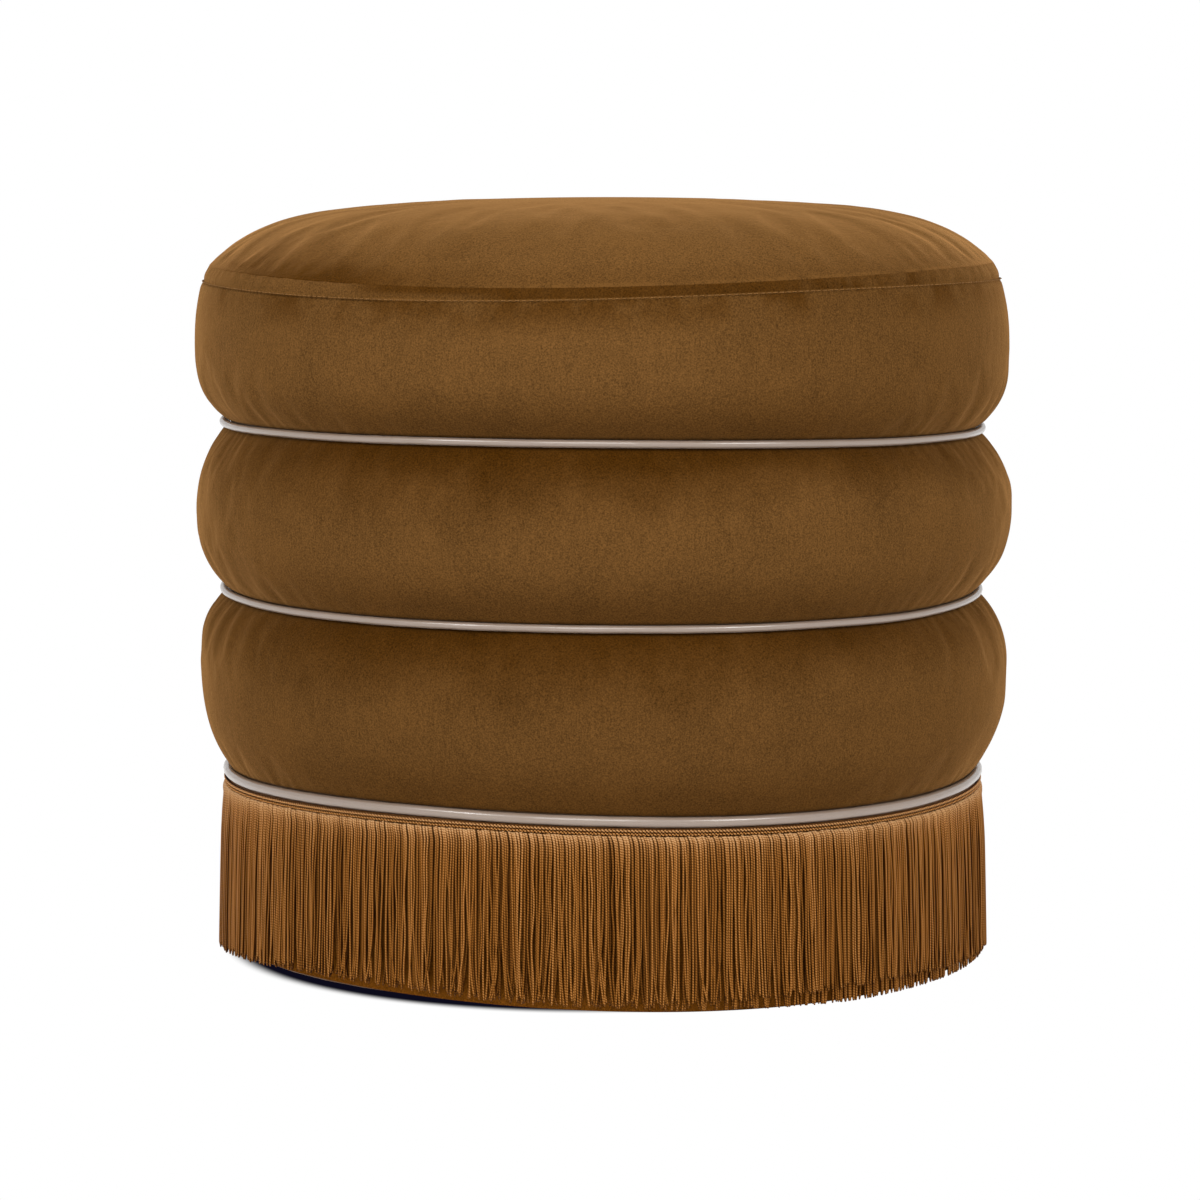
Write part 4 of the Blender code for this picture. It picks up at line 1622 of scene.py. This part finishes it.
def seat_pads(firm, soft):
    """The firm pad on the seat board and the domed pad on top of it."""
    turn = angles_of(foam_columns)
    deck = lowest("seat_foam")
    radius, level = foam_face(upper_roll, np.linspace(-1, pad_top_mark, 16))
    level = np.maximum(level, deck)
    top = float(level[-1].min())
    level = np.minimum(level, top)
    near_axis = np.full((1, foam_columns), hole_radius)
    foot = np.full((1, foam_columns), deck)
    lid = np.full((1, foam_columns), top)
    turned_foam(
        "foam_seat_pad", "seat_foam",
        np.concatenate([near_axis, radius[:1] - pad_chamfer, radius, near_axis]),
        np.concatenate([foot, foot, level, lid]), firm,
    )
    reach = np.linspace(0.98, 0.02, 30)[:, None]
    dome_radius = (seam_radius - 2 * velvet) * reach + 0 * turn
    follow = dome_rise(around(dome_radius, turn, 0.0).reshape(-1, 3)).reshape(dome_radius.shape)
    dome = crown_height(reach) - velvet - 2 * foam_gap + follow
    base = lid + clearance
    turned_foam(
        "foam_crown_pad", "crown_foam",
        np.concatenate([near_axis, radius[-1:] - pad_chamfer, dome_radius, near_axis]),
        np.concatenate([base, base, dome, dome[-1:]]), soft,
    )


firm = foam_finish("firm_foam", (0.75, 0.72, 0.55, 1.0))
soft = foam_finish("soft_foam", (0.80, 0.80, 0.78, 1.0))
roll_strip("lower", lower_roll, firm)
roll_strip("middle", middle_roll, firm)
seat_pads(firm, soft)
print("foam pieces: 4")

# %% [markdown]
# ## Boards, posts and the barrel's skin
# The rigid pieces keep the CAD model's own meshes and only get their materials. Plywood shows long
# birch grain on its faces and stripes of veneer on its edges, which one finish can tell apart by
# the way the surface faces. Pine has growth rings along its length, and hardboard is pressed fibre.

# %% Finishes of the inner frame
veneer = 0.003
growth_ring = 0.004


def plywood_finish(name, low):
    """Birch plywood, whose edge shows its veneers one above the other."""
    finish = Finish(name, 0.62)
    normal = finish.add("NewGeometry", output="Normal")
    facing = abs(finish.parts(normal)[2])
    veneers = ((finish.z - low) * (1 / veneer)).fraction() - 0.5
    edge = abs(veneers).rise(0.22, 0.28)
    grain = finish.noise(0.004, detail=4, stretch=(14, 1, 1), roughness=0.6)
    figure = finish.noise(0.05, detail=2, stretch=(3, 1, 1))
    face_tone = 0.78 + grain * 0.25 + figure * 0.15
    face = finish.mix(face_tone, (0.24, 0.14, 0.06, 1.0), (0.66, 0.49, 0.30, 1.0))
    side = finish.mix(edge, (0.33, 0.20, 0.10, 1.0), (0.62, 0.45, 0.27, 1.0))
    finish.colour(facing.rise(0.5, 0.8), side, face)
    finish.bump(grain, 0.0002)
    return finish.material


def pine_finish():
    """Sawn pine, with growth rings that run up the post."""
    finish = Finish("pine", 0.7)
    warp = finish.noise(0.06, detail=2, stretch=(1, 1, 8))
    across = finish.x + finish.y * 0.6 + warp * 0.012
    rings = (across * (full_turn / growth_ring)).sine() * 0.5 + 0.5
    fibre = finish.noise(0.0012, detail=3, stretch=(1, 1, 20))
    tone = 0.55 + rings * 0.3 + fibre * 0.3
    finish.colour(tone, (0.36, 0.20, 0.08, 1.0), (0.72, 0.53, 0.30, 1.0))
    finish.bump(fibre, 0.0002)
    return finish.material


def hardboard_finish():
    """Brown pressed fibreboard with a smooth face."""
    finish = Finish("hardboard", 0.5)
    fibre = finish.noise(0.0018, detail=4, roughness=0.7)
    patch = finish.noise(0.03, detail=2)
    tone = fibre * 0.7 + patch * 0.3
    finish.colour(tone, (0.13, 0.065, 0.028, 1.0), (0.27, 0.155, 0.075, 1.0))
    finish.feed("Roughness", 0.42 + fibre * 0.2)
    finish.bump(fibre, 0.00012)
    return finish.material


def nylon_finish():
    """Black moulded plastic, scuffed where it slides on the floor."""
    finish = Finish("glide_plastic", 0.38)
    scuff = finish.noise(0.0012, detail=4, roughness=0.7) * finish.z.fall(0.0, 0.0015)
    finish.colour(scuff, (0.013, 0.013, 0.014, 1.0), (0.10, 0.10, 0.10, 1.0))
    finish.feed("Roughness", 0.34 + scuff * 0.4)
    finish.bump(finish.noise(0.0004, detail=1), 0.00004)
    return finish.material


print("veneers", veneer * 1000, "mm and growth rings", growth_ring * 1000, "mm apart")

# %% Giving the CAD nodes their finishes
def dress(node, material):
    """Puts a finish on a CAD node."""
    slots = nodes[node].material_slots
    if len(slots) == 0:
        nodes[node].data.materials.append(material)
    for holder in nodes[node].material_slots:
        holder.material = material


boards = ("base_board", "former_lower", "former_middle", "seat_board")
for board in boards:
    dress(board, plywood_finish("plywood_" + board, lowest(board)))
dress("barrel_skin", hardboard_finish())
pine, nylon = pine_finish(), nylon_finish()
posts = glides = 6
for number in range(1, posts + 1):
    dress(f"post_{number}", pine)
    dress(f"glide_{number}", nylon)
print("dressed CAD nodes:", len(boards) + 1 + posts + glides)

# %% [markdown]
# ## Screws in the frame
# Each post is held by two countersunk screws at either end. They are too small to matter to the
# CAD model, so they are made here: a turned screw whose head has a cross pressed into it.

# %% The screws
screw_inset = 0.013
screw_aside = 0.006


def screws(name, level, point_up):
    """Two screws for every post, driven from above, or from below if they point up."""
    sides = 16
    turn = angles_of(sides)
    cross = 0.6 + 0.4 * np.cos(4 * turn)
    sizes = [0.0006, 0.0016, 0.0019, 0.0038, 0.0040, 0.0018, 0.0018, 0.0002]
    drops = [0.0016, 0.0014, 0.0000, 0.0000, 0.0003, 0.0026, 0.0290, 0.0340]
    shapes = np.array([cross, cross, cross] + [np.ones(sides)] * 5)
    radius = np.array(sizes)[:, None] * shapes
    local = around(radius, turn, -np.array(drops)[:, None])
    if point_up:
        local = local * np.array([1, -1, -1])
    points, faces = [], []
    screw_ring = (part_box("post_1")[0].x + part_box("post_1")[1].x) / 2 - screw_inset
    for angle in angles_of(posts):
        for side in (-screw_aside, screw_aside):
            spot = around(screw_ring, angle, level) + side * around(1.0, angle + math.pi / 2, 0.0)
            start = len(points) * len(sizes) * sides
            points.append(local.reshape(-1, 3) + spot)
            faces += (grid_faces(len(sizes), sides) + start).tolist()
            last = start + (len(sizes) - 1) * sides
            faces += [list(range(start, start + sides)), list(range(last, last + sides))]
    zinc = metal_finish(name + "_zinc", 0.002, (0.62, 0.60, 0.52, 1.0), (0.45, 0.44, 0.42, 1.0))
    piece = add_piece(name, np.concatenate(points), faces, zinc)
    face_outwards(piece)
    return piece


screws("seat_board_screws", highest("seat_board"), point_up=False)
screws("base_board_screws", lowest("base_board"), point_up=True)
print("screws:", 2 * 2 * posts)

# %% [markdown]
# ## Floor, light and camera
# The photograph is a cut-out on white, lit softly from all round with a little more light from the
# front. A white world gives that light, and the folds and grooves shade themselves, with more shade
# and light painted into the velvet and the yarns. The floor is white with a painted shadow: inside a
# circle round the plinth it is black and glows a faint navy, fading to white at the circle's edge.
# Further off it fades into plain white for the camera only, so that no extra light falls on the
# ottoman. The camera stands where the photographer's did.

# %% The floor and the white world
# The floor's painted shadow: inside a circle near the axis it is black and glows faintly navy, fading to
# white at the circle's edge.
shadow_centre = (-0.0095, 0.0081)
shadow_fade = (plinth_radius - 0.0144, plinth_radius - 0.0004)
shadow_colour = (0.0040, 0.0036, 0.0105, 1.0)
floor_colour = (0.93, 0.93, 0.935, 1.0)


def white_floor():
    """A large floor with a painted shadow close by, black with a faint navy glow, and plain white
    further off.
    """
    reach = 12.0
    corners = [(-reach, -reach, 0.0), (reach, -reach, 0.0), (reach, reach, 0.0), (-reach, reach, 0.0)]
    data = bpy.data.meshes.new("floor")
    data.from_pydata(corners, [], [(0, 1, 2, 3)])
    floor = put_in_scene("floor", data)
    # The whole floor glows faintly navy, which shows only where the painted shadow leaves it black.
    finish = Finish(
        "white_floor", 0.9, emission_strength=1.0, emission_color=shadow_colour,
        specular_ior_level=0.0,
    )
    across, along = finish.x - shadow_centre[0], finish.y - shadow_centre[1]
    away = ((across * across + along * along) ** 0.5).rise(*shadow_fade)
    finish.colour(away, black, floor_colour)
    rays = finish.add("LightPath").socket.node
    camera_ray, glossy_ray, transmission_ray = (
        Value(finish, rays.outputs[f"Is {kind} Ray"]) for kind in ("Camera", "Glossy", "Transmission")
    )
    seen = (camera_ray + glossy_ray + transmission_ray).clamped()
    glow = finish.add("Emission", {}, {"Color": white, "Strength": 1.0})
    blend = finish.add(
        "MixShader", {}, {0: seen * away, 1: Value(finish, finish.shader.outputs[0]), 2: glow}
    )
    output = finish.tree.nodes["Material Output"]
    finish.tree.links.new(blend.socket, output.inputs["Surface"])
    data.materials.append(finish.material)


def white_world(strength):
    """A white surround: plain white to the camera, and soft even light to the ottoman."""
    world = bpy.data.worlds.new("white_surround")
    bpy.context.scene.world = world
    world.use_nodes = True
    tree = world.node_tree
    background = tree.nodes["Background"]
    background.inputs["Color"].default_value = white
    rays = tree.nodes.new("ShaderNodeLightPath")
    level = tree.nodes.new("ShaderNodeMapRange")
    level.inputs["To Min"].default_value = strength
    level.inputs["To Max"].default_value = 1.0
    tree.links.new(rays.outputs["Is Camera Ray"], level.inputs["Value"])
    tree.links.new(level.outputs[0], background.inputs["Strength"])


world_light = 0.72
white_floor()
white_world(world_light)
print("the floor's shadow fades out at", round(shadow_fade[1] * 1000, 1), "mm from its middle")

# %% The lamps
lamp_aim = (0.0, 0.0, 0.3)


def softbox(name, place_at, size, watts):
    """A square soft lamp that faces the ottoman."""
    lamp = bpy.data.lights.new(name, "AREA")
    lamp.shape, lamp.size, lamp.energy = "SQUARE", size, watts
    holder = put_in_scene(name, lamp)
    holder.location = place_at
    direction = np.array(lamp_aim) - np.array(place_at)
    yaw = math.atan2(direction[1], direction[0]) - math.pi / 2
    pitch = math.atan2(direction[2], math.hypot(direction[0], direction[1])) + math.pi / 2
    holder.rotation_euler = (pitch, 0.0, yaw)


softbox("front_softbox", (-0.2, -2.6, 2.0), size=1.4, watts=26.0)
softbox("left_softbox", (-1.5, -1.5, 1.8), size=0.65, watts=15.0)
softbox("right_softbox", (1.5, -1.5, 1.8), size=0.65, watts=15.0)
print("lamps: a white world at", world_light, "and three softboxes")

# %% The camera, solved from the photograph's rings
camera_data = bpy.data.cameras.new("camera")
camera_data.lens = 116.325
camera_data.sensor_width = 36.0
camera_data.clip_start, camera_data.clip_end = 0.1, 100.0
camera = put_in_scene("camera", camera_data)
camera.location = (-0.0016, -2.3835, 0.47425)
look_down = 6.2752
camera.rotation_euler = (math.radians(90 - look_down), 0.0, 0.0)
bpy.context.scene.camera = camera
bpy.context.scene.view_settings.view_transform = "Standard"
print("the camera is", round(abs(camera.location.y), 2), "m from the axis")

# %% [markdown]
# ## The dressed ottoman
# The dressed ottoman has to fill the same space as its CAD model.
